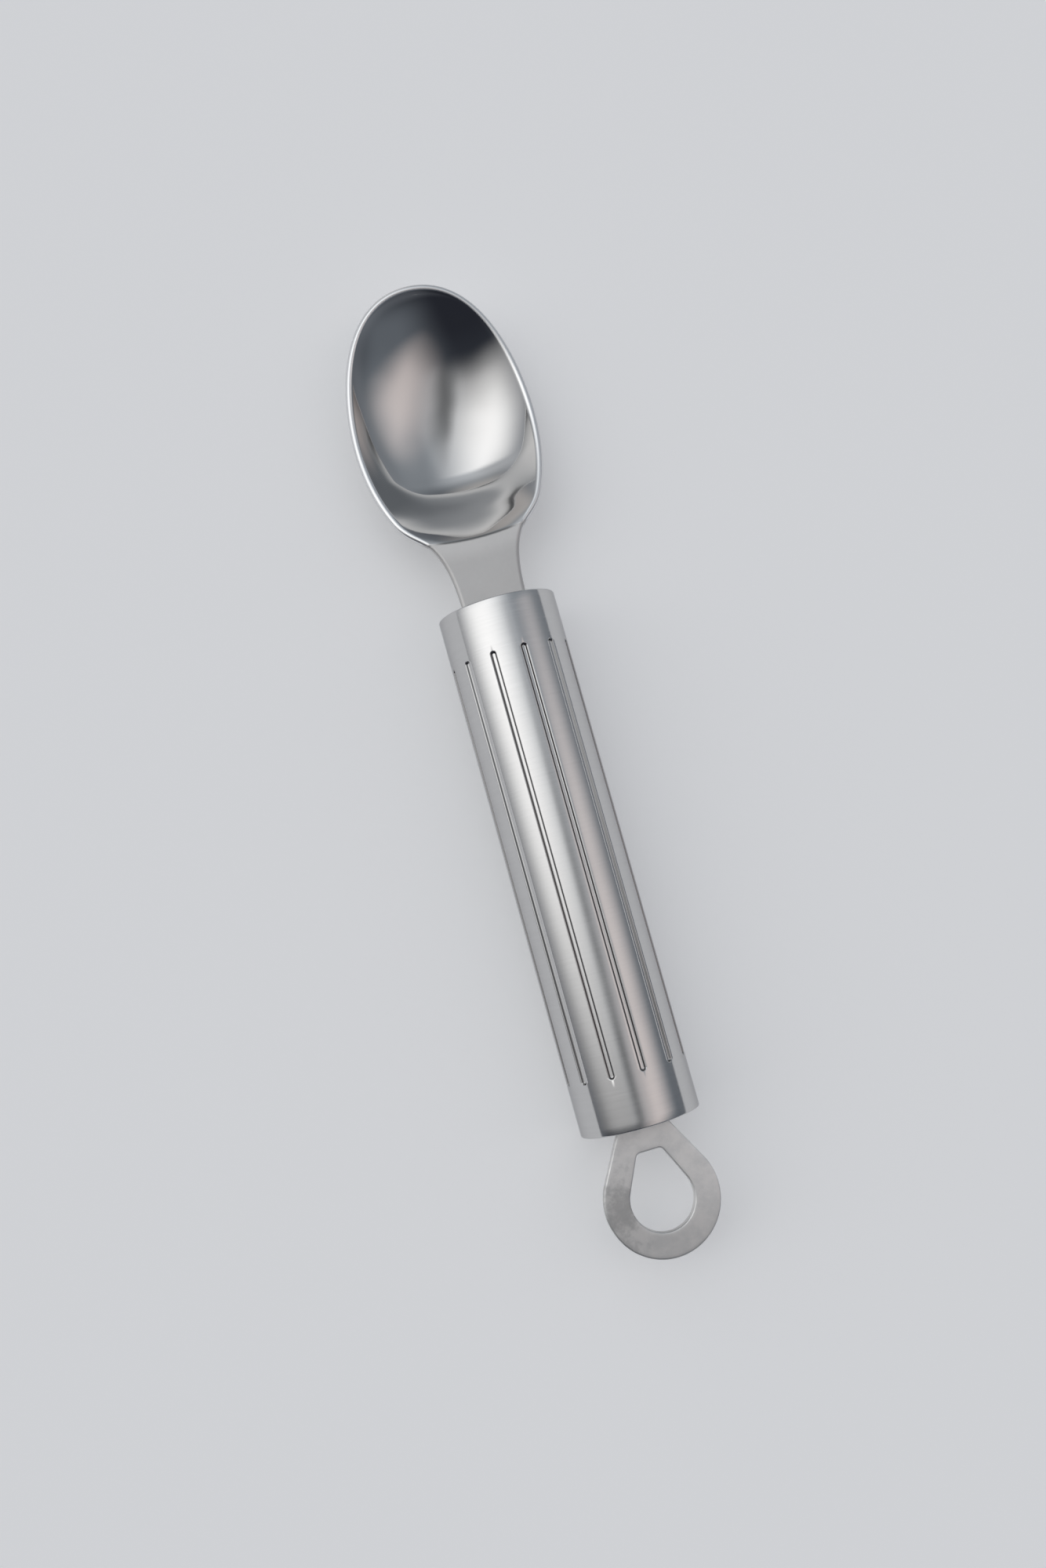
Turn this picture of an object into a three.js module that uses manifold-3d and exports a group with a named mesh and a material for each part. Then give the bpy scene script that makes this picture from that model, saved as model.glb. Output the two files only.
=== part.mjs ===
// Steel ice cream scoop: a stamped bowl and neck, a grooved tube handle and a teardrop hanging loop.
// Millimetres, +Z up. The tube lies along Y with the bowl towards +Y and open upwards.
import * as THREE from 'three';
import { mergeVertices } from 'three/addons/utils/BufferGeometryUtils.js';
import Module from 'manifold-3d';

const wasm = await Module();
wasm.setup();

// Clearance left between pieces that touch.
const CLEARANCE = 0.3;

// Handle tube.
const TUBE_DIAMETER = 25;
const TUBE_WALL = 1;
const TUBE_LENGTH = 110;
const GROOVE_COUNT = 12;
const GROOVE_WIDTH = 1.5;
const GROOVE_DEPTH = 0.5;
// From each rim of the tube to the end of the grooves, and the length over which a groove runs out.
const GROOVE_MARGIN = 10.6;
const GROOVE_RUNOUT = 1;
// Turn of the grooves about the tube's axis, against the plane of the blade, in degrees.
const GROOVE_CLOCK = -6.5;

// Blade: one sheet for the bowl, the neck and the tang in the tube.
const SHEET_THICKNESS = 1.6;
const NECK_WIDTH = 14;
// From the tube's rim to the crease at the back of the bowl.
const NECK_LENGTH = 16.6;
// Length of the neck that keeps its width before it flares.
const NECK_STRAIGHT = 0.6;
const BLADE_TANG_LENGTH = 30;
const BOWL_LENGTH = 55.9;
const BOWL_WIDTH = 39.8;
// From the neck's upper face down to the inside of the bowl.
const BOWL_DEPTH = 11.7;
// From the crease to the widest section, to the shoulder's end and to the deepest point.
const BOWL_WIDEST_AT = 24.4;
const SHOULDER_END_AT = 6.7;
const BOWL_DEEPEST_AT = 17;
// Half the length of the oval that the rear of the outline follows.
const REAR_OVAL_REACH = 30.8;
// Reach of the shoulder curve's two handles, at the neck and at the oval.
const SHOULDER_NECK_HANDLE = 18;
const SHOULDER_OVAL_HANDLE = 6.4;
// Reach of the nose curve's two handles, at the widest section and at the tip.
const NOSE_SIDE_HANDLE = 11.9;
const NOSE_TIP_HANDLE = 14.5;
// Slopes in degrees: of the rear wall at the crease, of the bowl at the tip and of the walls at the rim.
const REAR_WALL_SLOPE = 42;
const TIP_SLOPE = 56;
const RIM_SLOPE = 45;
// Reach of the middle line's handles at the crease and at the floor, as shares of the way from the crease
// to the deepest point, and at the tip, as a share of the way from there to the tip.
const REAR_WALL_SHARE = 0.5;
const FLOOR_SHARE = 0.25;
const TIP_SHARE = 0.37;
// How far the crease's middle lies nearer to the tube than its ends, and how far along the bow fades out.
const CREASE_BOW = 0.9;
const CREASE_BOW_REACH = 9;
// Height of the tip above the neck, and how far the rim sags between the crease and the tip.
const TIP_HEIGHT = 0.8;
const RIM_SAG = 2.8;
// Share of the flat-floored term in the bowl's cross-section: 0 is a parabola.
const FLOOR_FLATNESS = 0.36;

// Hanging loop.
const LOOP_THICKNESS = 2;
const LOOP_EDGE_ROUND = 0.4;
const LOOP_DIAMETER = 24.1;
const LOOP_EYE_DIAMETER = 13.2;
// From the tube's rim to the centre of the round end.
const LOOP_CENTRE_AT = 16.1;
const LOOP_NECK_WIDTH = 10;
// From the tube's rim to the flat top of the eye, and that flat's width and corner radius.
const LOOP_EYE_TOP_AT = 6.2;
const LOOP_EYE_TOP_WIDTH = 5.2;
const LOOP_EYE_CORNER = 1.1;
const LOOP_TANG_THICKNESS = 1.4;
const LOOP_TANG_LENGTH = 26;

// End discs, plug cores and cross pins inside the tube.
const DISC_THICKNESS = 2;
const DISC_RECESS = 0.4;
const CORE_OVERHANG = 2;
const PIN_DIAMETER = 3;
const PIN_CHAMFER = 0.4;
const PIN_RECESS = 1;
const PIN_MARGIN = 6;
const PIN_PITCH = 11;

// Fineness of the faceted surfaces.
const ROUND_STEPS = 48;
const PIN_STEPS = 16;
const BLADE_COLUMNS = 14;
const SHOULDER_STATIONS = 4;
const BOWL_STATIONS = 16;
const RIM_STEPS = 4;

const tubeRadius = TUBE_DIAMETER / 2;
const boreRadius = tubeRadius - TUBE_WALL;
const ridgeRadius = boreRadius - GROOVE_DEPTH;
const rimY = TUBE_LENGTH / 2;
const creaseY = rimY + NECK_LENGTH;
const loopCentreY = -(rimY + LOOP_CENTRE_AT);
const rimRound = SHEET_THICKNESS / 2;
// Width of the rounded rim seen from above, where the wall rises at RIM_SLOPE.
const rimBand = rimRound * (1 + Math.sin(THREE.MathUtils.degToRad(RIM_SLOPE)));

const polishedSteel = new THREE.MeshStandardMaterial({ color: 0xc9cbcc, roughness: 0.12, metalness: 1 });
const satinSteel = new THREE.MeshStandardMaterial({ color: 0xbfc0c0, roughness: 0.32, metalness: 1 });
const mattSteel = new THREE.MeshStandardMaterial({ color: 0xa9a8a6, roughness: 0.5, metalness: 1 });
const corePolymer = new THREE.MeshStandardMaterial({ color: 0x2b2c2e, roughness: 0.6, metalness: 0 });

/** Gives the closed geometry of a list of triangle corners, with shared corners merged. */
function closedGeometry(corners) {
  const flat = corners.flatMap((p) => [p.x, p.y, p.z]);
  const geometry = new THREE.BufferGeometry();
  geometry.setAttribute('position', new THREE.Float32BufferAttribute(flat, 3));
  return mergeVertices(geometry, 1e-4);
}

/** Adds the patch a-b-c-d, listed counter-clockwise as seen from outside. */
function addPatch(corners, a, b, c, d) {
  corners.push(a, b, c, a, c, d);
}

/** Turns a closed geometry into a solid that can be joined and cut. */
function toSolid(geometry) {
  const bare = geometry.clone();
  bare.deleteAttribute('normal');
  bare.deleteAttribute('uv');
  const merged = mergeVertices(bare, 1e-4);
  const index = merged.getIndex().array;
  const kept = [];
  for (let i = 0; i < index.length; i += 3) {
    const [a, b, c] = [index[i], index[i + 1], index[i + 2]];
    if (a !== b && b !== c && c !== a) kept.push(a, b, c);
  }
  return new wasm.Manifold(new wasm.Mesh({
    numProp: 3,
    vertProperties: new Float32Array(merged.getAttribute('position').array),
    triVerts: new Uint32Array(kept),
  }));
}

/** Turns a solid back into a geometry. */
function toGeometry(solid) {
  const mesh = solid.getMesh();
  const geometry = new THREE.BufferGeometry();
  geometry.setAttribute('position', new THREE.BufferAttribute(mesh.vertProperties, 3));
  geometry.setIndex(new THREE.BufferAttribute(mesh.triVerts, 1));
  return geometry;
}

/** Solid box between two corners. */
function boxSolid(low, high) {
  const size = high.clone().sub(low);
  const centre = low.clone().add(high).multiplyScalar(0.5);
  const box = new THREE.BoxGeometry(size.x, size.y, size.z);
  return toSolid(box.translate(centre.x, centre.y, centre.z));
}

/** Solid of revolution about Y from [radius, y] pairs that start and end on the axis, with y rising. */
function turnedSolid(profile, steps) {
  const points = profile.map(([radius, y]) => new THREE.Vector2(radius, y));
  return toSolid(new THREE.LatheGeometry(points, steps));
}

/** One angular station of the tube: its angle from +Z towards +X and the share of the groove's depth. */
function tubeStations() {
  const pitch = (2 * Math.PI) / GROOVE_COUNT;
  const halfGroove = GROOVE_WIDTH / 2 / tubeRadius;
  const landSteps = Math.max(1, Math.round(ROUND_STEPS / GROOVE_COUNT) - 1);
  const landAngle = pitch - 2 * halfGroove;
  const stations = [];
  for (let k = 0; k < GROOVE_COUNT; k += 1) {
    const centre = THREE.MathUtils.degToRad(GROOVE_CLOCK) + (k + 0.5) * pitch;
    for (const s of [-1, -0.5, 0, 0.5, 1]) {
      stations.push({ angle: centre + s * halfGroove, share: Math.cos((s * Math.PI) / 2) ** 2 });
    }
    for (let j = 1; j < landSteps; j += 1) {
      stations.push({ angle: centre + halfGroove + (j * landAngle) / landSteps, share: 0 });
    }
  }
  return stations;
}

/** Rings of the tube along Y from front to rear: where they lie and how far the grooves are pressed there. */
function tubeRings() {
  const runout = [0, 0.1, 0.4, 1].map((q) => ({
    offset: GROOVE_MARGIN + q * GROOVE_RUNOUT,
    press: Math.sqrt(1 - (1 - q) ** 2),
  }));
  const front = runout.map(({ offset, press }) => ({ y: rimY - offset, press }));
  const rear = runout.map(({ offset, press }) => ({ y: offset - rimY, press })).reverse();
  return [{ y: rimY, press: 0 }, ...front, ...rear, { y: -rimY, press: 0 }];
}

/** Tube whose wall is pressed inwards along the grooves, so that each groove is a ridge in the bore. */
function handleTube() {
  const stations = tubeStations();
  const wallRing = (ring, inset) => stations.map(({ angle, share }) => {
    const radius = tubeRadius - inset - GROOVE_DEPTH * ring.press * share;
    return new THREE.Vector3(radius * Math.sin(angle), ring.y, radius * Math.cos(angle));
  });
  const rings = tubeRings();
  const outer = rings.map((ring) => wallRing(ring, 0));
  const inner = rings.map((ring) => wallRing(ring, TUBE_WALL)).reverse();
  const loop = [...outer, ...inner];
  const corners = [];
  loop.forEach((ring, i) => {
    const next = loop[(i + 1) % loop.length];
    ring.forEach((point, j) => {
      const k = (j + 1) % ring.length;
      addPatch(corners, point, next[j], next[k], ring[k]);
    });
  });
  return closedGeometry(corners);
}

/** Point of a cubic curve in a plane, from its four control points. */
function cubicPoint(controls, t) {
  const [a, b, c, d] = controls;
  return new THREE.CubicBezierCurve(a, b, c, d).getPoint(t);
}

/** Second coordinate of a cubic curve where its first one, which rises all along, has the given value. */
function cubicHeight(controls, along) {
  let low = 0;
  let high = 1;
  for (let i = 0; i < 40; i += 1) {
    const middle = (low + high) / 2;
    if (cubicPoint(controls, middle).x < along) low = middle;
    else high = middle;
  }
  return cubicPoint(controls, (low + high) / 2).y;
}

const tipAt = BOWL_LENGTH - rimRound * (1 + Math.sin(THREE.MathUtils.degToRad(TIP_SLOPE)));
const ovalHalfWidth = BOWL_WIDTH / 2 - rimBand;
const neckHalfWidth = NECK_WIDTH / 2 - rimRound;

/** Nose of the outline, from the widest section to the tip, as (distance from the crease, half-width). */
function noseControls() {
  return [
    new THREE.Vector2(BOWL_WIDEST_AT, ovalHalfWidth),
    new THREE.Vector2(BOWL_WIDEST_AT + NOSE_SIDE_HANDLE, ovalHalfWidth),
    new THREE.Vector2(tipAt, NOSE_TIP_HANDLE),
    new THREE.Vector2(tipAt, 0),
  ];
}

/** Half-width of the bowl's outline at a distance from the crease: a quarter oval behind, the nose ahead. */
function ovalWidth(at) {
  if (at > BOWL_WIDEST_AT) return cubicHeight(noseControls(), at);
  const share = (at - BOWL_WIDEST_AT) / REAR_OVAL_REACH;
  return ovalHalfWidth * Math.sqrt(1 - share ** 2);
}

/** Shoulder between the straight neck and the oval, as control points (distance from the crease, half-width). */
function shoulderControls() {
  const share = (SHOULDER_END_AT - BOWL_WIDEST_AT) / REAR_OVAL_REACH;
  const joinWidth = ovalWidth(SHOULDER_END_AT);
  const ovalSlope = (-ovalHalfWidth * share) / (REAR_OVAL_REACH * Math.sqrt(1 - share ** 2));
  const start = NECK_STRAIGHT - NECK_LENGTH;
  return [
    new THREE.Vector2(start, neckHalfWidth),
    new THREE.Vector2(start + SHOULDER_NECK_HANDLE, neckHalfWidth),
    new THREE.Vector2(SHOULDER_END_AT - SHOULDER_OVAL_HANDLE, joinWidth - SHOULDER_OVAL_HANDLE * ovalSlope),
    new THREE.Vector2(SHOULDER_END_AT, joinWidth),
  ];
}

/** Half-width of the blade's upper face at a distance from the crease, negative towards the tube. */
function bladeHalfWidth(at) {
  if (at >= SHOULDER_END_AT) return ovalWidth(at);
  if (at <= NECK_STRAIGHT - NECK_LENGTH) return neckHalfWidth;
  return cubicHeight(shoulderControls(), at);
}

/** Control points of the bowl's middle line behind and ahead of its deepest point, with one curvature there. */
function floorControls() {
  const rearSlope = THREE.MathUtils.degToRad(REAR_WALL_SLOPE);
  const tipSlope = THREE.MathUtils.degToRad(TIP_SLOPE);
  const wallHandle = BOWL_DEEPEST_AT * REAR_WALL_SHARE;
  const floorHandle = BOWL_DEEPEST_AT * FLOOR_SHARE;
  const tipHandle = (tipAt - BOWL_DEEPEST_AT) * TIP_SHARE;
  const wallRise = BOWL_DEPTH - wallHandle * Math.sin(rearSlope);
  const tipRise = BOWL_DEPTH + TIP_HEIGHT - tipHandle * Math.sin(tipSlope);
  const frontHandle = floorHandle * Math.sqrt(tipRise / wallRise);
  const deepest = new THREE.Vector2(BOWL_DEEPEST_AT, -BOWL_DEPTH);
  const rear = [
    new THREE.Vector2(0, 0),
    new THREE.Vector2(wallHandle * Math.cos(rearSlope), -wallHandle * Math.sin(rearSlope)),
    new THREE.Vector2(BOWL_DEEPEST_AT - floorHandle, -BOWL_DEPTH),
    deepest,
  ];
  const front = [
    deepest,
    new THREE.Vector2(BOWL_DEEPEST_AT + frontHandle, -BOWL_DEPTH),
    new THREE.Vector2(tipAt - tipHandle * Math.cos(tipSlope), TIP_HEIGHT - tipHandle * Math.sin(tipSlope)),
    new THREE.Vector2(tipAt, TIP_HEIGHT),
  ];
  return { rear, front };
}

/** Depth of the bowl's middle line at a distance from the crease, measured from the neck's upper face. */
function floorHeight(at) {
  if (at <= 0) return 0;
  const { rear, front } = floorControls();
  return at < BOWL_DEEPEST_AT ? cubicHeight(rear, at) : cubicHeight(front, Math.min(at, tipAt));
}

/** Height of the rim at a distance from the crease: it sags behind the neck and rises again to the tip. */
function rimHeight(at) {
  if (at <= 0) return 0;
  const handle = tipAt / 3;
  const sag = (-4 * RIM_SAG) / 3;
  const controls = [
    new THREE.Vector2(0, 0),
    new THREE.Vector2(handle, sag),
    new THREE.Vector2(2 * handle, sag),
    new THREE.Vector2(tipAt, TIP_HEIGHT),
  ];
  return cubicHeight(controls, Math.min(at, tipAt));
}

/** How far a section of the blade is drawn towards the tube by the bow of the crease. */
function creaseBow(at, across) {
  const fade = Math.max(0, 1 - Math.abs(at) / CREASE_BOW_REACH) ** 2;
  return CREASE_BOW * fade * (1 - across ** 2);
}

/** Point of the blade's upper face; across runs from -1 at the left rim to 1 at the right one. */
function bladePoint(at, across) {
  const floor = floorHeight(at);
  const flatness = FLOOR_FLATNESS * Math.sin(Math.PI * THREE.MathUtils.clamp(at / tipAt, 0, 1));
  const rise = (1 - flatness) * across ** 2 + flatness * across ** 4;
  const height = floor + (rimHeight(at) - floor) * rise;
  const along = creaseY + at - creaseBow(at, across);
  return new THREE.Vector3(across * bladeHalfWidth(at), along, rimRound + height);
}

/** Distances from the crease at which the blade's sections are drawn, from the tang to the tip. */
function bladeStations() {
  const tangEnd = -(NECK_LENGTH + BLADE_TANG_LENGTH) + rimRound;
  const flareStart = NECK_STRAIGHT - NECK_LENGTH;
  const stations = [tangEnd, -NECK_LENGTH, flareStart];
  for (const share of [0.3, 0.52, 0.7, 0.83]) stations.push(flareStart * (1 - share));
  stations.push(-0.6 * SHEET_THICKNESS, 0, 0.35 * SHEET_THICKNESS, 0.8 * SHEET_THICKNESS);
  const wallStart = stations.at(-1);
  for (let i = 1; i <= SHOULDER_STATIONS; i += 1) {
    stations.push(wallStart + ((SHOULDER_END_AT - wallStart) * i) / SHOULDER_STATIONS);
  }
  const lastAngle = THREE.MathUtils.degToRad(85);
  for (let i = 1; i <= BOWL_STATIONS; i += 1) {
    const share = Math.sin((i / BOWL_STATIONS) * lastAngle);
    stations.push(SHOULDER_END_AT + (tipAt - SHOULDER_END_AT) * share);
  }
  return stations;
}

/** Upward normal of a grid of points at one of its nodes. */
function gridNormal(grid, i, j) {
  const above = grid[Math.min(i + 1, grid.length - 1)][j];
  const below = grid[Math.max(i - 1, 0)][j];
  const right = grid[i][Math.min(j + 1, grid[i].length - 1)];
  const left = grid[i][Math.max(j - 1, 0)];
  return right.clone().sub(left).cross(above.clone().sub(below)).normalize();
}

/** Direction in the sheet that points out of it at a node of its border. */
function borderDirection(grid, normal, i, j) {
  const rows = grid.length - 1;
  const columns = grid[0].length - 1;
  const direction = new THREE.Vector3();
  if (j === 0 || j === columns) {
    const along = grid[Math.min(i + 1, rows)][j].clone().sub(grid[Math.max(i - 1, 0)][j]).normalize();
    direction.addScaledVector(along.cross(normal), j === 0 ? -1 : 1);
  }
  if (i === 0 || i === rows) {
    const across = grid[i][Math.min(j + 1, columns)].clone().sub(grid[i][Math.max(j - 1, 0)]).normalize();
    direction.addScaledVector(normal.clone().cross(across), i === 0 ? -1 : 1);
  }
  return direction.normalize();
}

/** Nodes of a grid's border, counter-clockwise as seen from above. */
function borderNodes(rows, columns) {
  const nodes = [];
  for (let j = 0; j < columns; j += 1) nodes.push([0, j]);
  for (let i = 0; i < rows; i += 1) nodes.push([i, columns]);
  for (let j = columns; j > 0; j -= 1) nodes.push([rows, j]);
  for (let i = rows; i > 0; i -= 1) nodes.push([i, 0]);
  return nodes;
}

/** Sheet of even thickness under a grid of points, with a half-round edge all the way round. */
function sheetGeometry(grid, thickness) {
  const rows = grid.length - 1;
  const columns = grid[0].length - 1;
  const normals = grid.map((row, i) => row.map((point, j) => gridNormal(grid, i, j)));
  const under = grid.map((row, i) => row.map((point, j) => point.clone().addScaledVector(normals[i][j], -thickness)));
  const corners = [];
  for (let i = 0; i < rows; i += 1) {
    for (let j = 0; j < columns; j += 1) {
      addPatch(corners, grid[i][j], grid[i][j + 1], grid[i + 1][j + 1], grid[i + 1][j]);
      addPatch(corners, under[i][j], under[i + 1][j], under[i + 1][j + 1], under[i][j + 1]);
    }
  }
  const arcs = borderNodes(rows, columns).map(([i, j]) => {
    const normal = normals[i][j];
    const outwards = borderDirection(grid, normal, i, j);
    const arc = [grid[i][j]];
    for (let k = 1; k < RIM_STEPS; k += 1) {
      const angle = (k * Math.PI) / RIM_STEPS;
      const point = grid[i][j].clone().addScaledVector(normal, (thickness / 2) * (Math.cos(angle) - 1));
      arc.push(point.addScaledVector(outwards, (thickness / 2) * Math.sin(angle)));
    }
    arc.push(under[i][j]);
    return arc;
  });
  arcs.forEach((arc, n) => {
    const next = arcs[(n + 1) % arcs.length];
    for (let k = 0; k < RIM_STEPS; k += 1) addPatch(corners, arc[k + 1], next[k + 1], next[k], arc[k]);
  });
  return closedGeometry(corners);
}

/** Places of the two pins from a rim of the tube inwards, for a tang of the given length. */
function pinPlaces(tangLength) {
  const inner = tangLength - PIN_MARGIN;
  return { outer: inner - PIN_PITCH, inner };
}

/** Round bar along Z through the axis at a given y. */
function crossBar(radius, halfLength, y) {
  const bar = turnedSolid([[0, -halfLength], [radius, -halfLength], [radius, halfLength], [0, halfLength]], PIN_STEPS);
  return bar.rotate([90, 0, 0]).translate([0, y, 0]);
}

/** Cuts the two pin holes of one end out of a solid; side is 1 at the front and -1 at the rear. */
function cutPinHoles(solid, tangLength, side) {
  const { outer, inner } = pinPlaces(tangLength);
  return [outer, inner].reduce((rest, place) => {
    return rest.subtract(crossBar(PIN_DIAMETER / 2 + CLEARANCE, TUBE_DIAMETER, side * (rimY - place)));
  }, solid);
}

/** Stamped blade: the dished bowl runs back into the flat neck and the pinned tang. */
function scoopBlade() {
  const grid = bladeStations().map((at) => {
    const row = [];
    for (let j = 0; j <= BLADE_COLUMNS; j += 1) row.push(bladePoint(at, (2 * j) / BLADE_COLUMNS - 1));
    return row;
  });
  const sheet = toSolid(sheetGeometry(grid, SHEET_THICKNESS));
  return toGeometry(cutPinHoles(sheet, BLADE_TANG_LENGTH, 1));
}

/** Teardrop outline: the sides run from the neck's corners to touch the round end. */
function loopOutline() {
  const radius = LOOP_DIAMETER / 2;
  const top = -(rimY + CLEARANCE);
  const half = LOOP_NECK_WIDTH / 2;
  const distance = Math.hypot(half, top - loopCentreY);
  const touch = Math.atan2(top - loopCentreY, half) - Math.acos(radius / distance);
  const outline = new THREE.Shape();
  outline.moveTo(half, top);
  outline.lineTo(-half, top);
  outline.absarc(0, loopCentreY, radius, Math.PI - touch, touch + 2 * Math.PI, false);
  outline.closePath();
  outline.holes.push(loopEye());
  return outline;
}

/** Eye of the loop: a smaller teardrop with a short flat top and rounded corners. */
function loopEye() {
  const radius = LOOP_EYE_DIAMETER / 2;
  const top = -(rimY + LOOP_EYE_TOP_AT);
  const half = LOOP_EYE_TOP_WIDTH / 2;
  const distance = Math.hypot(half, top - loopCentreY);
  const touch = Math.atan2(top - loopCentreY, half) - Math.acos(radius / distance);
  const touchX = radius * Math.cos(touch);
  const touchY = loopCentreY + radius * Math.sin(touch);
  const side = new THREE.Vector2(touchX - half, touchY - top).normalize().multiplyScalar(LOOP_EYE_CORNER);
  const eye = new THREE.Path();
  eye.moveTo(half - LOOP_EYE_CORNER, top);
  eye.quadraticCurveTo(half, top, half + side.x, top + side.y);
  eye.lineTo(touchX, touchY);
  eye.absarc(0, loopCentreY, radius, touch, Math.PI - touch, true);
  eye.lineTo(-half - side.x, top + side.y);
  eye.quadraticCurveTo(-half, top, LOOP_EYE_CORNER - half, top);
  eye.closePath();
  return eye;
}

/** Flat teardrop plate with softened edges and a thinner tang that goes into the tube. */
function hangLoop() {
  const plate = new THREE.ExtrudeGeometry(loopOutline(), {
    depth: LOOP_THICKNESS - 2 * LOOP_EDGE_ROUND,
    curveSegments: ROUND_STEPS / 3,
    bevelThickness: LOOP_EDGE_ROUND,
    bevelSize: LOOP_EDGE_ROUND,
    bevelOffset: -LOOP_EDGE_ROUND,
    bevelSegments: 2,
  }).translate(0, 0, LOOP_EDGE_ROUND - LOOP_THICKNESS / 2);
  const low = new THREE.Vector3(-LOOP_NECK_WIDTH / 2 + LOOP_EDGE_ROUND, 0, -LOOP_TANG_THICKNESS / 2);
  const high = new THREE.Vector3(LOOP_NECK_WIDTH / 2 - LOOP_EDGE_ROUND, 0, LOOP_TANG_THICKNESS / 2);
  low.y = -(rimY + CLEARANCE + 2 * LOOP_EDGE_ROUND);
  high.y = LOOP_TANG_LENGTH - rimY;
  const blank = toSolid(plate).add(boxSolid(low, high));
  return toGeometry(cutPinHoles(blank, LOOP_TANG_LENGTH, -1));
}

/** Disc across the tube's mouth with a slot for the sheet that passes through it. */
function endDisc(slotWidth, slotHeight, cornerRadius, innerFaceY) {
  const disc = new THREE.Shape().absarc(0, 0, boreRadius - CLEARANCE, 0, 2 * Math.PI, false);
  const halfWidth = slotWidth / 2 + CLEARANCE;
  const halfHeight = slotHeight / 2 + CLEARANCE;
  const radius = Math.min(cornerRadius, halfHeight);
  const slot = new THREE.Path();
  slot.moveTo(halfWidth - radius, -halfHeight);
  slot.absarc(halfWidth - radius, radius - halfHeight, radius, -Math.PI / 2, 0, false);
  slot.absarc(halfWidth - radius, halfHeight - radius, radius, 0, Math.PI / 2, false);
  slot.absarc(radius - halfWidth, halfHeight - radius, radius, Math.PI / 2, Math.PI, false);
  slot.absarc(radius - halfWidth, radius - halfHeight, radius, Math.PI, 1.5 * Math.PI, false);
  slot.closePath();
  disc.holes.push(slot);
  const options = { depth: DISC_THICKNESS, bevelEnabled: false, curveSegments: ROUND_STEPS / 4 };
  const geometry = new THREE.ExtrudeGeometry(disc, options);
  return toGeometry(toSolid(geometry.rotateX(Math.PI / 2).translate(0, innerFaceY + DISC_THICKNESS, 0)));
}

/**
 * Upper or lower half of a plug that clamps a tang in the tube. Its head fills the bore ahead of the grooves
 * and its shoulder stops at their ends; the slimmer body lies between the ridges.
 */
function coreHalf(tangLength, tangWidth, tangThickness, side, upper) {
  const headRadius = boreRadius - CLEARANCE;
  const bodyRadius = ridgeRadius - CLEARANCE;
  const headFrom = DISC_RECESS + DISC_THICKNESS + CLEARANCE;
  const headTo = GROOVE_MARGIN - CLEARANCE;
  const bodyTo = tangLength + CORE_OVERHANG;
  const plug = turnedSolid([
    [0, -bodyTo], [bodyRadius, -bodyTo], [bodyRadius, -headTo],
    [headRadius, -headTo], [headRadius, -headFrom], [0, -headFrom],
  ], ROUND_STEPS);
  const split = CLEARANCE / 2;
  const reach = TUBE_DIAMETER;
  const halfSpace = boxSolid(new THREE.Vector3(-reach, -2 * bodyTo, split), new THREE.Vector3(reach, bodyTo, reach));
  const channel = boxSolid(
    new THREE.Vector3(-tangWidth / 2 - CLEARANCE, -2 * bodyTo, -reach),
    new THREE.Vector3(tangWidth / 2 + CLEARANCE, bodyTo, tangThickness / 2 + CLEARANCE),
  );
  let half = plug.intersect(halfSpace).subtract(channel);
  if (!upper) half = half.rotate([0, 180, 0]);
  if (side < 0) half = half.rotate([0, 0, 180]);
  return toGeometry(cutPinHoles(half.translate([0, side * rimY, 0]), tangLength, side));
}

/** Cross pin with chamfered ends, along Z. */
function crossPin() {
  const radius = PIN_DIAMETER / 2;
  const half = ridgeRadius - CLEARANCE - PIN_RECESS;
  const profile = [
    [0, -half], [radius - PIN_CHAMFER, -half], [radius, PIN_CHAMFER - half],
    [radius, half - PIN_CHAMFER], [radius - PIN_CHAMFER, half], [0, half],
  ];
  return toGeometry(turnedSolid(profile, PIN_STEPS).rotate([90, 0, 0]));
}

const scoop = new THREE.Group();
scoop.name = 'ice_cream_scoop';

/** Adds one named piece to the scoop. */
function addPiece(name, geometry, material, y = 0) {
  const mesh = new THREE.Mesh(geometry, material);
  mesh.name = name;
  mesh.position.y = y;
  scoop.add(mesh);
}

addPiece('scoop_blade', scoopBlade(), polishedSteel);
addPiece('handle_tube', handleTube(), satinSteel);
addPiece('hang_loop', hangLoop(), mattSteel);

const discInnerY = rimY - DISC_RECESS - DISC_THICKNESS;
const slotRound = rimRound + CLEARANCE;
const loopTangWidth = LOOP_NECK_WIDTH - 2 * LOOP_EDGE_ROUND;
addPiece('front_end_disc', endDisc(NECK_WIDTH, SHEET_THICKNESS, slotRound, discInnerY), satinSteel);
addPiece('rear_end_disc', endDisc(loopTangWidth, LOOP_TANG_THICKNESS, CLEARANCE, DISC_RECESS - rimY), satinSteel);

for (const [name, upper] of [['upper', true], ['lower', false]]) {
  const front = coreHalf(BLADE_TANG_LENGTH, NECK_WIDTH, SHEET_THICKNESS, 1, upper);
  const rear = coreHalf(LOOP_TANG_LENGTH, loopTangWidth, LOOP_TANG_THICKNESS, -1, upper);
  addPiece(`front_core_${name}`, front, corePolymer);
  addPiece(`rear_core_${name}`, rear, corePolymer);
}

for (const place of ['outer', 'inner']) {
  addPiece(`front_pin_${place}`, crossPin(), satinSteel, rimY - pinPlaces(BLADE_TANG_LENGTH)[place]);
  addPiece(`rear_pin_${place}`, crossPin(), satinSteel, pinPlaces(LOOP_TANG_LENGTH)[place] - rimY);
}

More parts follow.
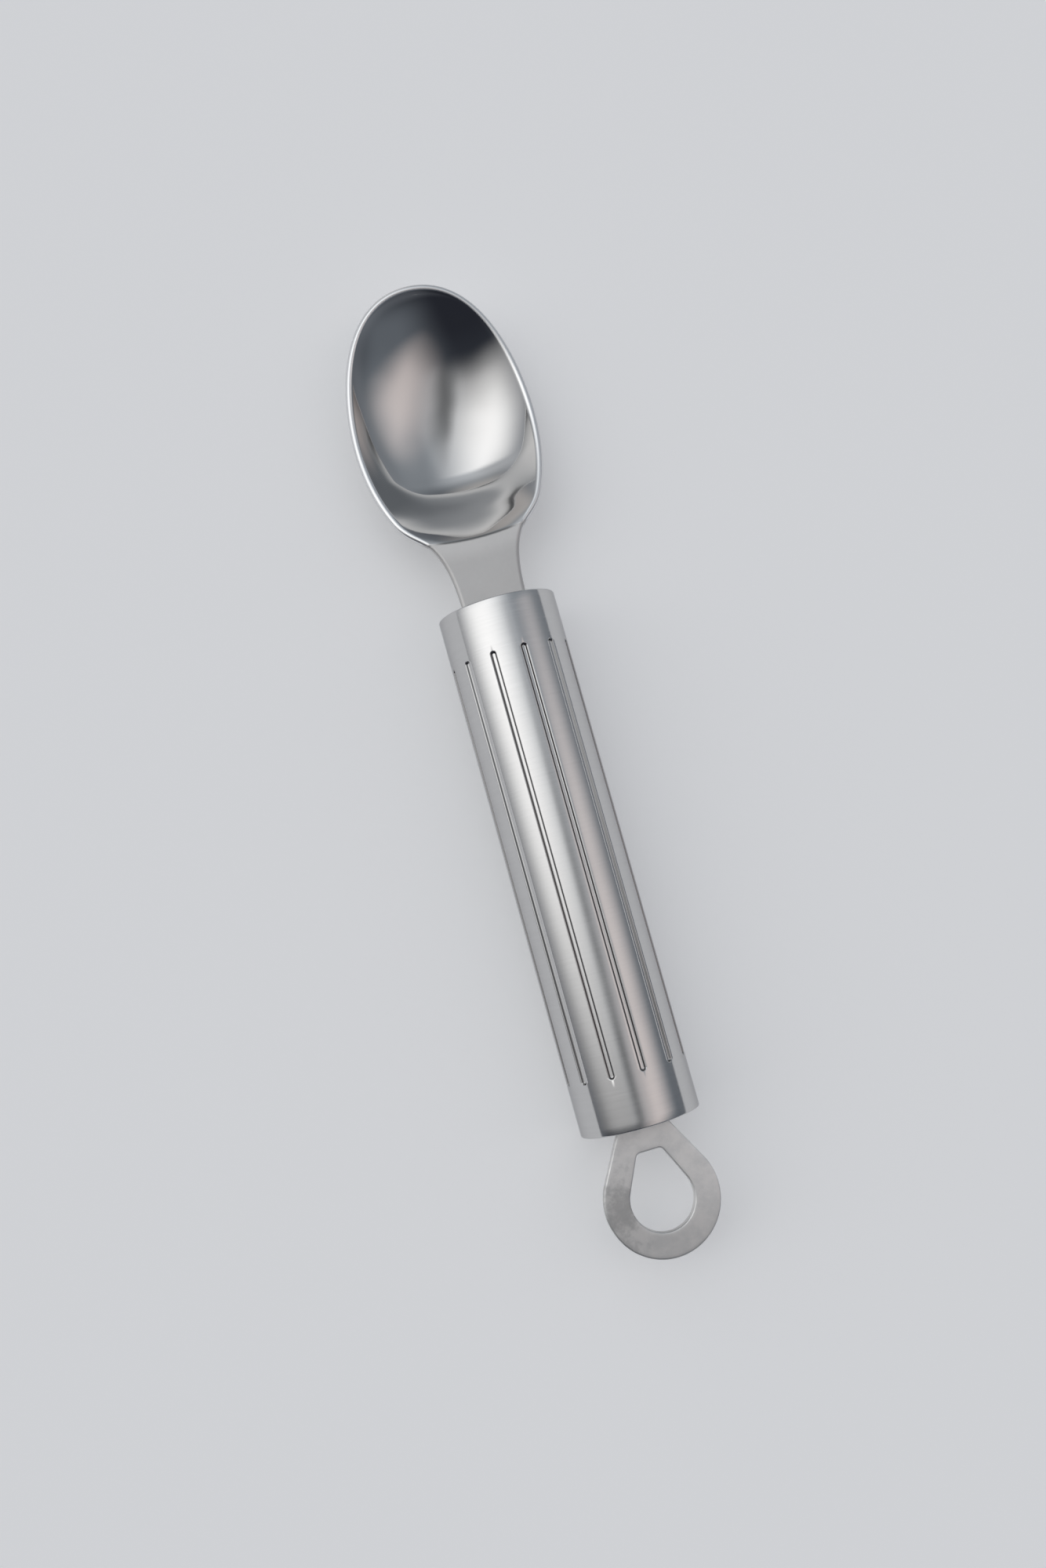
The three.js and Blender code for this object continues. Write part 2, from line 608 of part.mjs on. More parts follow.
// The origin is under the middle of the scoop, where it rests on the tube and the bowl.
const tipY = creaseY + BOWL_LENGTH;
const loopEndY = loopCentreY - LOOP_DIAMETER / 2;
const restZ = Math.min(-tubeRadius, -rimRound - BOWL_DEPTH);
scoop.position.set(0, -(tipY + loopEndY) / 2, -restZ);

export default scoop;
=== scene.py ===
"""An ice cream scoop: a stamped bowl on a flat neck, a grooved tube handle and a flat loop to hang it by.

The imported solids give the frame. The three pieces that the eye reads, the blade, the tube and the loop, are
drawn again as fine surfaces on the same sizes, and the small solids inside the handle keep their shapes and
get their finishes here. The classes that draw pieces are in millimetres in the tube's own frame: the tube's
axis is Y, its middle is the origin, and the bowl opens upwards. Finishes, floor and camera are in metres in
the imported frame, and the dome's lights and all slopes and turns of pieces and camera are in degrees.
"""

import logging
import math
from dataclasses import dataclass
from enum import Enum

import bpy
import numpy as np
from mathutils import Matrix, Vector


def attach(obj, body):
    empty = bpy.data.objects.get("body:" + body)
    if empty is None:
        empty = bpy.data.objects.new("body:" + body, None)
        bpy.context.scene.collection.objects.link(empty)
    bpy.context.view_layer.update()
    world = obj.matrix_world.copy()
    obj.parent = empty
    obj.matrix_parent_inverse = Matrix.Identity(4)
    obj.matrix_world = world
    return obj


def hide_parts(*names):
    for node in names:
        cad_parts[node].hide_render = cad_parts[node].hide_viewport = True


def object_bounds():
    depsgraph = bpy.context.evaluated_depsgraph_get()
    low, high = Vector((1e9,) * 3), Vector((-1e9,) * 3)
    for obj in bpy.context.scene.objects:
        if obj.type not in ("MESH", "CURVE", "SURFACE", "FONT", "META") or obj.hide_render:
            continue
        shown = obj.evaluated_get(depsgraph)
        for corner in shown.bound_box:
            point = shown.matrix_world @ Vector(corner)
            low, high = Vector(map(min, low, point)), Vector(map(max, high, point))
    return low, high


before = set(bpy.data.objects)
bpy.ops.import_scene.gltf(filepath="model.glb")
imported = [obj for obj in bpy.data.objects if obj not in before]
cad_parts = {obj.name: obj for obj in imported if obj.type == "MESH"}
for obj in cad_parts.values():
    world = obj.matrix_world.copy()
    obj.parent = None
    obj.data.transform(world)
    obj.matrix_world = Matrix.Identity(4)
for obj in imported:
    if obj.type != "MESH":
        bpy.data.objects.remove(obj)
cad_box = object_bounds()

Array = np.ndarray
Pair = tuple[float, float]
Triple = tuple[float, float, float]
Socket = bpy.types.NodeSocket
Sockets = bpy.types.bpy_prop_collection

MM = 0.001
TUBE_MIDDLE: Triple = (0.0, -22.175, 12.5)
SHARP_ANGLE = math.radians(50)
HALVINGS = 44

log = logging.getLogger("scoop")


class Slot(Enum):
    """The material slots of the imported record."""

    POLISHED = "polished_steel"
    SATIN = "satin_steel"
    MATT = "matt_steel"
    CORE = "core_polymer"
    PIN = "pin_steel"


@dataclass(frozen=True)
class Cubic:
    """A plane cubic curve that leaves its start towards one control and reaches its end from another."""

    start: Pair
    leave: Pair
    arrive: Pair
    end: Pair

    def axis(self, which: int, share: Array) -> Array:
        """One coordinate of the curve: the four controls weighed by the cubic Bernstein weights of the share.

        Args:
            which: 0 for the first coordinate, 1 for the second.
            share: How far along the curve, from 0 to 1.

        Returns:
            The coordinate at each share.
        """
        rest = 1.0 - share
        weights = (rest**3, 3 * rest**2 * share, 3 * rest * share**2, share**3)
        controls = (self.start, self.leave, self.arrive, self.end)
        return sum(weight * control[which] for weight, control in zip(weights, controls))

    def read(self, known: int, value: Array) -> Array:
        """The other coordinate where the known one reaches a value, found by halving the share's interval.

        Args:
            known: The coordinate that is given, 0 or 1. It rises or falls all along the curve.
            value: What the known coordinate reaches.

        Returns:
            The other coordinate there.
        """
        rising = self.end[known] > self.start[known]
        low, high = np.zeros_like(value), np.ones_like(value)
        for _ in range(HALVINGS):
            middle = (low + high) / 2
            short = (self.axis(known, middle) < value) == rising
            low, high = np.where(short, middle, low), np.where(short, high, middle)
        return self.axis(1 - known, (low + high) / 2)


@dataclass
class Shell:
    """One closed surface: its points in millimetres, its four-sided faces, a flat map of each face corner,
    and a mark of each point from 0 to 1 that its finish reads.
    """

    points: Array
    quads: Array
    corners: Array | None = None
    mark: Array | None = None

    def outward(self) -> "Shell":
        """The same shell with its faces turned out, by the sign of the volume that they close in.

        Returns:
            The shell itself, its faces reversed where that volume was negative.
        """
        a, b, c, d = (self.points[self.quads[:, k]] for k in range(4))
        volume = np.einsum("ij,ij->", a, np.cross(b, c) + np.cross(c, d))
        if volume < 0:
            self.quads = self.quads[:, ::-1].copy()
            if self.corners is not None:
                self.corners = self.corners[:, ::-1].copy()
        return self


def quads_of(index: Array, close_rows: bool = False, close_columns: bool = False) -> Array:
    """The four-sided faces of a grid of point numbers.

    Args:
        index: Point numbers in rows and columns.
        close_rows: Whether the last row joins the first.
        close_columns: Whether the last column joins the first.

    Returns:
        Faces as rows of four point numbers, each round its cell in the same sense.
    """
    if close_rows:
        index = np.vstack([index, index[:1]])
    if close_columns:
        index = np.hstack([index, index[:, :1]])
    corners = [index[:-1, :-1], index[:-1, 1:], index[1:, 1:], index[1:, :-1]]
    return np.stack(corners, axis=-1).reshape(-1, 4)


def smooth_share(low: float, high: float, value: Array) -> Array:
    """A share that eases from 0 at low to 1 at high, as 3 s squared less 2 s cubed."""
    s = np.clip((value - low) / (high - low), 0.0, 1.0)
    return s * s * (3.0 - 2.0 * s)


def unit(vectors: Array) -> Array:
    """The vectors, each made one long."""
    return vectors / np.linalg.norm(vectors, axis=-1, keepdims=True)


def rolled_sheet(top: Array, normal: Array, thickness: float, steps: int, under: Array) -> Shell:
    """A sheet with a half-round edge, from the grids of its upper and lower faces.

    The edge is carried round the border as a half circle:
    point + normal * t/2 * (cos a - 1) + outwards * t/2 * sin a, for a from 0 to half a turn.

    Args:
        top: Points of the upper face, rows by columns by 3.
        normal: Unit normals there.
        thickness: The sheet's thickness.
        steps: Faces round the half circle.
        under: Points of the lower face.

    Returns:
        The closed sheet, its half-round edge marked.
    """
    count = top[..., 0].size
    upper = np.arange(count).reshape(top.shape[:2])
    border = np.concatenate([upper[0], upper[1:, -1], upper[-1, -2::-1], upper[-2:0:-1, 0]])
    edge, lift = top.reshape(-1, 3)[border], normal.reshape(-1, 3)[border]
    out = unit(np.cross(np.roll(edge, -1, axis=0) - np.roll(edge, 1, axis=0), lift))
    turn = np.linspace(0.0, np.pi, steps + 1)[1:-1, None, None]
    round_edge = edge + thickness / 2 * (lift * (np.cos(turn) - 1) + out * np.sin(turn))
    ring = 2 * count + np.arange((steps - 1) * len(border)).reshape(steps - 1, len(border))
    rim = np.vstack([border, ring, border + count]).T
    points = np.concatenate([part.reshape(-1, 3) for part in (top, under, round_edge)])
    faces = [quads_of(upper), quads_of(upper + count)[:, ::-1], quads_of(rim, close_rows=True)]
    mark = np.concatenate([np.zeros(2 * count), np.ones(ring.size)])
    return Shell(points, np.concatenate(faces), mark=mark).outward()


class Board:
    """A node tree with short calls that place nodes and join them."""

    def __init__(self, tree: bpy.types.NodeTree) -> None:
        """Takes the tree of a material, a world or a group and clears it."""
        self.tree = tree
        tree.nodes.clear()

    def add(self, kind: str, **settings: object) -> bpy.types.Node:
        """Places a node.

        Args:
            kind: The node's type name without its ShaderNode prefix, or a whole type name.
            settings: Properties to set on it.

        Returns:
            The new node.
        """
        node = self.tree.nodes.new(kind if kind.startswith("Node") else "ShaderNode" + kind)
        for name, value in settings.items():
            setattr(node, name, value)
        return node

    def feed(self, target: Socket, value: object) -> None:
        """Joins a socket to an input, or writes a plain value on it.

        Args:
            target: The input.
            value: An output socket, or the value to write. A colour is written as opaque.
        """
        if isinstance(value, bpy.types.NodeSocket):
            self.tree.links.new(value, target)
        elif target.type == "RGBA":
            target.default_value = (*value, 1.0)
        else:
            target.default_value = value

    def fill(self, node: bpy.types.Node, values: dict[str | int, object]) -> bpy.types.Node:
        """Feeds a node's inputs.

        Args:
            node: The node.
            values: What goes into its inputs, by their names or numbers.

        Returns:
            The node itself.
        """
        for key, value in values.items():
            self.feed(node.inputs[key], value)
        return node

    def maths(self, operation: str, *values: object) -> Socket:
        """The result of a Math node on sockets or numbers."""
        return self.fill(self.add("Math", operation=operation), dict(enumerate(values))).outputs[0]

    def vector(self, operation: str, *values: object) -> bpy.types.Node:
        """A Vector Math node on sockets or vectors, because some put out a vector and some a value."""
        return self.fill(self.add("VectorMath", operation=operation), dict(enumerate(values)))

    def scale(self, vector: object, factor: object) -> Socket:
        """A vector or colour times a factor."""
        given = {"Vector": vector, "Scale": factor}
        return self.fill(self.add("VectorMath", operation="SCALE"), given).outputs[0]

    def split(self, vector: Socket) -> Sockets:
        """The three parts of a vector by name."""
        return self.fill(self.add("SeparateXYZ"), {0: vector}).outputs

    def range(self, value: Socket, low: float, high: float, first: float, last: float) -> Socket:
        """A value eased with a smooth step, from first at and before low to last at and after high."""
        ends = {"Value": value, "From Min": low, "From Max": high, "To Min": first, "To Max": last}
        return self.fill(self.add("MapRange", interpolation_type="SMOOTHSTEP"), ends).outputs["Result"]

    def noise(self, place: Socket, scale: object, detail: float, roughness: float) -> Socket:
        """A noise about 0.5, of scale grains to a unit, with detail octaves as strong as roughness says."""
        given = {"Vector": place, "Scale": scale, "Detail": detail, "Roughness": roughness}
        return self.fill(self.add("TexNoise"), given).outputs["Fac"]

    def between(self, share: Socket, first: object, last: object) -> Socket:
        """A mix of two values, with share of the last."""
        return self.fill(self.add("Mix", data_type="FLOAT"), {0: share, 2: first, 3: last}).outputs[0]

    def blend(self, share: Socket, first: object, last: object) -> Socket:
        """A mix of two colours, with share of the last."""
        return self.fill(self.add("Mix", data_type="RGBA"), {0: share, 6: first, 7: last}).outputs[2]


class Surface(Board):
    """The tree of a new material with one shader in it."""

    def __init__(self, name: str) -> None:
        """Makes the material.

        Args:
            name: The material's name.
        """
        self.material = bpy.data.materials.new(name)
        self.material.use_nodes = True
        super().__init__(self.material.node_tree)
        self.shader = self.add("BsdfPrincipled")
        self.feed(self.add("OutputMaterial").inputs["Surface"], self.shader.outputs[0])

    def place(self) -> Socket:
        """The Object coordinates."""
        return self.add("TexCoord").outputs["Object"]

    def mark(self, name: str) -> Socket:
        """The marks of the points, by the name of their attribute."""
        return self.add("Attribute", attribute_name=name).outputs["Fac"]

    def bump(self, height: Socket, depth: float, strength: float = 1.0) -> Socket:
        """The normal over a height map: a height of 1 is depth in metres, and a share of strength shows."""
        given = {"Strength": strength, "Distance": depth, "Height": height}
        return self.fill(self.add("Bump"), given).outputs[0]

    def coat(self, values: dict[str, object]) -> bpy.types.Material:
        """Feeds the shader's inputs by name and gives the finished material."""
        self.fill(self.shader, values)
        return self.material


class Effect:
    """A surface effect that several finishes share, as a shader node group made once."""

    name: str = "effect"
    inputs: tuple[tuple[str, float], ...] = ()
    outputs: tuple[str, ...] = ()

    def group(self) -> bpy.types.NodeTree:
        """The node group, built on the first call.

        Returns:
            The group.
        """
        found = bpy.data.node_groups.get(self.name)
        if found:
            return found
        tree = bpy.data.node_groups.new(self.name, "ShaderNodeTree")
        tree.interface.new_socket("Place", in_out="INPUT", socket_type="NodeSocketVector")
        for name, value in self.inputs:
            socket = tree.interface.new_socket(name, in_out="INPUT", socket_type="NodeSocketFloat")
            socket.default_value = value
        for name in self.outputs:
            tree.interface.new_socket(name, in_out="OUTPUT", socket_type="NodeSocketFloat")
        board = Board(tree)
        self.draw(board, board.add("NodeGroupInput").outputs, board.add("NodeGroupOutput").inputs)
        return tree

    def draw(self, board: Board, given: Sockets, put: Sockets) -> None:
        """Fills the group between its given inputs and its put outputs."""
        raise NotImplementedError

    def lay(self, board: Board, place: Socket, **values: float) -> Sockets:
        """Places the group in a material.

        Args:
            board: The material's tree.
            place: The coordinates that it follows.
            values: The group's other inputs by name.

        Returns:
            The group's outputs by name.
        """
        node = board.add("Group", node_tree=self.group())
        return board.fill(node, {"Place": place, **values}).outputs


class HandlingHaze(Effect):
    """Wide soft patches where a hand or a cloth dulled the metal, and fine hairlines in two directions."""

    name = "handling_haze"
    inputs = (("Patch", 60.0), ("Hair", 900.0))
    outputs = ("Patches", "Hairlines")
    patch_levels: Pair = (0.38, 0.66)
    threads: tuple[tuple[float, Triple], ...] = ((0.35, (1.0, 0.05, 0.6)), (-1.1, (1.0, 0.04, 0.6)))

    def draw(self, board: Board, given: Sockets, put: Sockets) -> None:
        """Patches are noise eased between two levels; hairlines are two crossed noises drawn out to threads.

        Args:
            board: The group's tree.
            given: The group's inputs by name.
            put: The group's outputs by name.
        """
        wide = board.noise(given["Place"], given["Patch"], detail=3.0, roughness=0.55)
        board.feed(put["Patches"], board.range(wide, *self.patch_levels, 0.0, 1.0))
        drawn = []
        for turn, stretch in self.threads:
            turned = board.add("VectorRotate", rotation_type="Z_AXIS")
            board.fill(turned, {"Vector": given["Place"], "Angle": turn})
            thread = board.vector("MULTIPLY", turned.outputs[0], stretch).outputs[0]
            drawn.append(board.noise(thread, given["Hair"], detail=2.0, roughness=0.6))
        board.feed(put["Hairlines"], board.maths("MULTIPLY", *drawn))


class SheetMottle(Effect):
    """The clouding of bare rolled sheet: two sizes of soft spots and a fine grain."""

    name = "sheet_mottle"
    inputs = (("Cloud", 220.0), ("Grain", 4200.0))
    outputs = ("Clouds", "Grains")
    finer: float = 4.7
    finer_share: float = 0.35
    levels: Pair = (0.3, 0.7)

    def draw(self, board: Board, given: Sockets, put: Sockets) -> None:
        """Clouds are a wide noise plus a share of a finer one; grains are one fine noise.

        Args:
            board: The group's tree.
            given: The group's inputs by name.
            put: The group's outputs by name.
        """
        place, cloud = given["Place"], given["Cloud"]
        wide = board.noise(place, cloud, detail=3.0, roughness=0.6)
        fine = board.noise(place, board.maths("MULTIPLY", cloud, self.finer), detail=2.0, roughness=0.6)
        both = board.maths("MULTIPLY_ADD", board.maths("SUBTRACT", fine, 0.5), self.finer_share, wide)
        board.feed(put["Clouds"], board.range(both, *self.levels, 0.0, 1.0))
        board.feed(put["Grains"], board.noise(place, given["Grain"], detail=1.0, roughness=0.5))


class TurnedRings(Effect):
    """Fine rings left by turning about the Y axis, each a little uneven round its circle."""

    name = "turned_rings"
    inputs = (("Pitch", 2600.0),)
    outputs = ("Rings",)
    stretch: Triple = (0.035, 1.0, 0.035)

    def draw(self, board: Board, given: Sockets, put: Sockets) -> None:
        """Noise that changes along Y and hardly along X and Z."""
        drawn = board.vector("MULTIPLY", given["Place"], self.stretch).outputs[0]
        board.feed(put["Rings"], board.noise(drawn, given["Pitch"], detail=3.0, roughness=0.65))


class Finish:
    """What every finish has: a name, and the material that it makes."""

    name: str = "finish"

    def material(self) -> bpy.types.Material:
        """The finished material."""
        raise NotImplementedError


@dataclass(frozen=True)
class PolishedSteel(Finish):
    """Mirror-polished steel in the bowl, ground on its rim and left matt on the neck behind the crease."""

    name: str = Slot.POLISHED.value
    colour: Triple = (0.57, 0.565, 0.56)
    edge: Triple = (0.75, 0.75, 0.76)
    gloss: float = 0.045
    haze: float = 0.03
    # The ground rim's paler colour is a painted highlight; its greater roughness is real grinding.
    rim_highlight_colour: Triple = (0.84, 0.84, 0.84)
    rim_gloss: float = 0.3
    rim_map: str = "ground"
    neck_colour: Triple = (0.6, 0.59, 0.58)
    neck_gloss: float = 0.46
    neck_dull: float = 0.05
    neck_clouds: Pair = (0.06, 0.97)
    # Painted light: the neck is made up to this much paler near the crease, over this span behind it.
    neck_painted_light: float = 1.15
    neck_painted_light_from: Pair = (-0.0055, -0.0012)
    crease_y: float = 0.049425
    crease_ease: float = 0.00025
    crease_bow: float = 0.0009
    crease_half: float = 0.0099
    # Painted shade: a dark line along the crease, given by its place, half width, depth and fade towards the
    # rims.
    crease_shade_at: float = -0.0001
    crease_shade_half: float = 0.00045
    crease_shade_depth: float = 0.72
    crease_shade_fade: Pair = (0.45, 0.95)
    ripple_scale: float = 75.0
    ripple_depth: float = 0.00028
    hair_depth: float = 0.0000016

    def material(self) -> bpy.types.Material:
        """Polish ahead of the crease, matt behind it, eased over half a millimetre, a line of painted shade
        along the crease between them, painted light on the neck near the crease, and a rougher ground edge
        round the bowl whose paler colour is a painted highlight.

        Returns:
            The material.
        """
        skin = Surface(self.name)
        place = skin.place()
        apart = skin.split(place)
        share = skin.maths("DIVIDE", apart["X"], self.crease_half)
        square = skin.maths("MULTIPLY", share, share)
        bowed = skin.maths("MULTIPLY", skin.maths("SUBTRACT", 1.0, square), self.crease_bow)
        ahead = skin.maths("SUBTRACT", skin.maths("ADD", apart["Y"], bowed), self.crease_y)
        bowl = skin.range(ahead, -self.crease_ease, self.crease_ease, 0.0, 1.0)
        haze = HandlingHaze().lay(skin, place, Patch=70.0, Hair=1300.0)
        mottle = SheetMottle().lay(skin, place, Cloud=160.0, Grain=5200.0)
        # Painted light: the neck grows paler towards the crease.
        painted_light = skin.range(ahead, *self.neck_painted_light_from, 1.0, self.neck_painted_light)
        clouds = skin.maths("MULTIPLY_ADD", mottle["Clouds"], *self.neck_clouds)
        neck = skin.scale(self.neck_colour, skin.maths("MULTIPLY", clouds, painted_light))
        # Painted shade: a dark line along the crease, fading out towards the rims.
        off_crease = skin.maths("ABSOLUTE", skin.maths("SUBTRACT", ahead, self.crease_shade_at))
        dark = skin.range(off_crease, 0.0, self.crease_shade_half, self.crease_shade_depth, 0.0)
        inside = skin.range(square, *self.crease_shade_fade, 1.0, 0.0)
        line = skin.maths("SUBTRACT", 1.0, skin.maths("MULTIPLY", dark, inside))
        # The ground rim is rougher for real; its paler colour is a painted highlight.
        rim = skin.maths("MULTIPLY", skin.mark(self.rim_map), bowl)
        steel = skin.blend(rim, self.colour, self.rim_highlight_colour)
        polish = skin.maths("MULTIPLY_ADD", haze["Patches"], self.haze, self.gloss)
        matt = skin.maths("MULTIPLY_ADD", mottle["Clouds"], self.neck_dull, self.neck_gloss)
        wide = skin.noise(place, self.ripple_scale, detail=1.0, roughness=0.3)
        ripple = skin.maths("MULTIPLY", wide, self.ripple_depth)
        coat = {
            "Base Color": skin.scale(skin.blend(bowl, neck, steel), line),
            "Metallic": 1.0,
            "Specular Tint": self.edge,
            "Roughness": skin.between(bowl, matt, skin.between(rim, polish, self.rim_gloss)),
            "Normal": skin.bump(skin.maths("MULTIPLY_ADD", haze["Hairlines"], self.hair_depth, ripple), 1.0),
        }
        return skin.coat(coat)


@dataclass(frozen=True)
class SatinSteel(Finish):
    """Drawn tube turned to a satin: rings round the axis that spread a highlight along the tube."""

    name: str = Slot.SATIN.value
    colour: Triple = (0.63, 0.625, 0.62)
    edge: Triple = (0.7, 0.7, 0.71)
    gloss: float = 0.1
    patch_dull: float = 0.04
    ring_dull: float = 0.06
    ring_shade: Pair = (0.14, 0.93)
    spread: float = 0.6
    along_map: str = ""
    # Painted shade in the grooves: the map that marks their steep sides, and how much darker they are.
    groove_shade_map: str = ""
    groove_shade_depth: float = 0.72

    def material(self) -> bpy.types.Material:
        """Satin with turned rings, duller in patches, with painted shade on the grooves' steep sides and its
        highlight drawn out along the given map's first axis.

        Returns:
            The material.
        """
        skin = Surface(self.name)
        place = skin.place()
        haze = HandlingHaze().lay(skin, place, Patch=45.0, Hair=1000.0)
        rings = TurnedRings().lay(skin, place, Pitch=2600.0)["Rings"]
        level = skin.maths("MULTIPLY_ADD", rings, *self.ring_shade)
        # Painted shade: the marked steep sides of the grooves are darkened.
        if self.groove_shade_map:
            groove_unshaded = skin.maths("MULTIPLY_ADD", skin.mark(self.groove_shade_map), -self.groove_shade_depth, 1.0)
            level = skin.maths("MULTIPLY", level, groove_unshaded)
        dull = skin.maths("MULTIPLY_ADD", haze["Patches"], self.patch_dull, self.gloss)
        coat = {
            "Base Color": skin.scale(self.colour, level),
            "Metallic": 1.0,
            "Specular Tint": self.edge,
            "Roughness": skin.maths("MULTIPLY_ADD", rings, self.ring_dull, dull),
        }
        if self.along_map:
            along = skin.add("Tangent", direction_type="UV_MAP", uv_map=self.along_map)
            coat |= {"Anisotropic": self.spread, "Tangent": along.outputs[0]}
        return skin.coat(coat)


@dataclass(frozen=True)
class MattSteel(Finish):
    """Bare rolled sheet, tumbled matt and a little clouded."""

    name: str = Slot.MATT.value
    colour: Triple = (0.76, 0.75, 0.735)
    dark: Triple = (0.69, 0.685, 0.675)
    gloss: float = 0.52
    cloud_gloss: float = -0.08
    # Painted shade: a soft dark patch at the left middle of the loop, given by its place, size, fade and
    # depth.
    painted_shade_at: Triple = (-0.0092, -0.0930, 0.0135)
    painted_shade_half: Triple = (0.0042, 0.0075, 0.004)
    painted_shade_fade: Pair = (0.5, 1.9)
    painted_shade_depth: float = 0.24
    # Painted light: the loop is made paler along a slant towards the tube and +X.
    painted_light_from: Pair = (-0.103, -0.082)
    painted_light_slant: float = 0.7
    painted_light_levels: Pair = (0.95, 1.18)
    grain_depth: float = 0.000006
    grain_strength: float = 0.7

    def material(self) -> bpy.types.Material:
        """Clouds between two greys and a fine grain, with painted light towards the tube and +X
        and one soft patch of painted shade.

        Returns:
            The material.
        """
        skin = Surface(self.name)
        place = skin.place()
        mottle = SheetMottle().lay(skin, place, Cloud=230.0, Grain=4200.0)
        clouds = mottle["Clouds"]
        along = skin.split(place)
        # Painted light: paler towards the tube and +X, where more light falls.
        slant = skin.maths("MULTIPLY_ADD", along["X"], self.painted_light_slant, along["Y"])
        painted_light = skin.range(slant, *self.painted_light_from, *self.painted_light_levels)
        # Painted shade: a soft dark patch at the left middle of the loop.
        off = skin.vector("SUBTRACT", place, self.painted_shade_at).outputs[0]
        shares = skin.vector("DIVIDE", off, self.painted_shade_half).outputs[0]
        away = skin.maths("ADD", skin.vector("LENGTH", shares).outputs["Value"], clouds)
        patch_shaded = skin.range(away, *self.painted_shade_fade, 1.0 - self.painted_shade_depth, 1.0)
        sheet = skin.blend(clouds, self.dark, self.colour)
        coat = {
            "Base Color": skin.scale(sheet, skin.maths("MULTIPLY", painted_light, patch_shaded)),
            "Metallic": 1.0,
            "Roughness": skin.maths("MULTIPLY_ADD", clouds, self.cloud_gloss, self.gloss),
            "Normal": skin.bump(mottle["Grains"], self.grain_depth, self.grain_strength),
        }
        return skin.coat(coat)


@dataclass(frozen=True)
class CorePolymer(Finish):
    """Dark moulded plastic of the plugs inside the tube."""

    name: str = Slot.CORE.value
    colour: Triple = (0.055, 0.056, 0.06)
    worn: Triple = (0.085, 0.086, 0.09)
    dullness: Pair = (0.1, 0.5)
    grain_depth: float = 0.00002

    def material(self) -> bpy.types.Material:
        """Dark plastic with a fine moulded grain and paler clouds.

        Returns:
            The material.
        """
        skin = Surface(self.name)
        mottle = SheetMottle().lay(skin, skin.place(), Cloud=300.0, Grain=2600.0)
        coat = {
            "Base Color": skin.blend(mottle["Clouds"], self.colour, self.worn),
            "Roughness": skin.maths("MULTIPLY_ADD", mottle["Clouds"], *self.dullness),
            "Normal": skin.bump(mottle["Grains"], self.grain_depth),
        }
        return skin.coat(coat)


@dataclass(frozen=True)
class PinSteel(Finish):
    """Ground steel of the cross pins."""

    name: str = Slot.PIN.value
    colour: Triple = (0.56, 0.56, 0.57)
    worn: Triple = (0.5, 0.5, 0.5)
    dullness: Pair = (0.1, 0.24)
    hair_depth: float = 0.000002

    def material(self) -> bpy.types.Material:
        """Ground steel, dulled in patches.

        Returns:
            The material.
        """
        skin = Surface(self.name)
        haze = HandlingHaze().lay(skin, skin.place(), Patch=300.0, Hair=2500.0)
        coat = {
            "Base Color": skin.blend(haze["Patches"], self.colour, self.worn),
            "Metallic": 1.0,
            "Roughness": skin.maths("MULTIPLY_ADD", haze["Patches"], *self.dullness),
            "Normal": skin.bump(haze["Hairlines"], self.hair_depth),
        }
        return skin.coat(coat)


def make_piece(
    name: str, shells: list[Shell], finish: Finish, node: str, maps: tuple[str, str] = ("", "")
) -> bpy.types.Object:
    """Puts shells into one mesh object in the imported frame, dresses it and lets it stand for a CAD node.

    Args:
        name: The piece's name.
        shells: Its closed surfaces, in millimetres in the tube's frame.
        finish: What it is dressed in.
        node: The CAD node that it replaces.
        maps: The names for the map of face corners and for the points' marks, where the finish reads them.

    Returns:
        The piece.
    """
    starts = np.cumsum([0] + [len(shell.points) for shell in shells[:-1]])
    points = (np.concatenate([shell.points for shell in shells]) + np.array(TUBE_MIDDLE)) * MM
    quads = np.concatenate([shell.quads + start for shell, start in zip(shells, starts)])
    mesh = bpy.data.meshes.new(name)
    mesh.from_pydata(points.tolist(), [], quads.tolist())
    along_map, mark_map = maps
    if along_map:
        corners = np.concatenate([shell.corners for shell in shells]).astype(np.float32)
        mesh.uv_layers.new(name=along_map).data.foreach_set("uv", corners.ravel())
    if mark_map:
        marks = np.concatenate([shell.mark for shell in shells]).astype(np.float32)
        mesh.attributes.new(mark_map, "FLOAT", "POINT").data.foreach_set("value", marks)
    mesh.validate()
    mesh.shade_smooth()
    mesh.set_sharp_from_angle(angle=SHARP_ANGLE)
    mesh.materials.append(finish.material())
    piece = bpy.data.objects.new(name, mesh)
    bpy.context.scene.collection.objects.link(piece)
    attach(piece, "root")
    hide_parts(node)
    log.info("%s: %d points, %d faces, for %s", name, len(points), len(quads), node)
    return piece


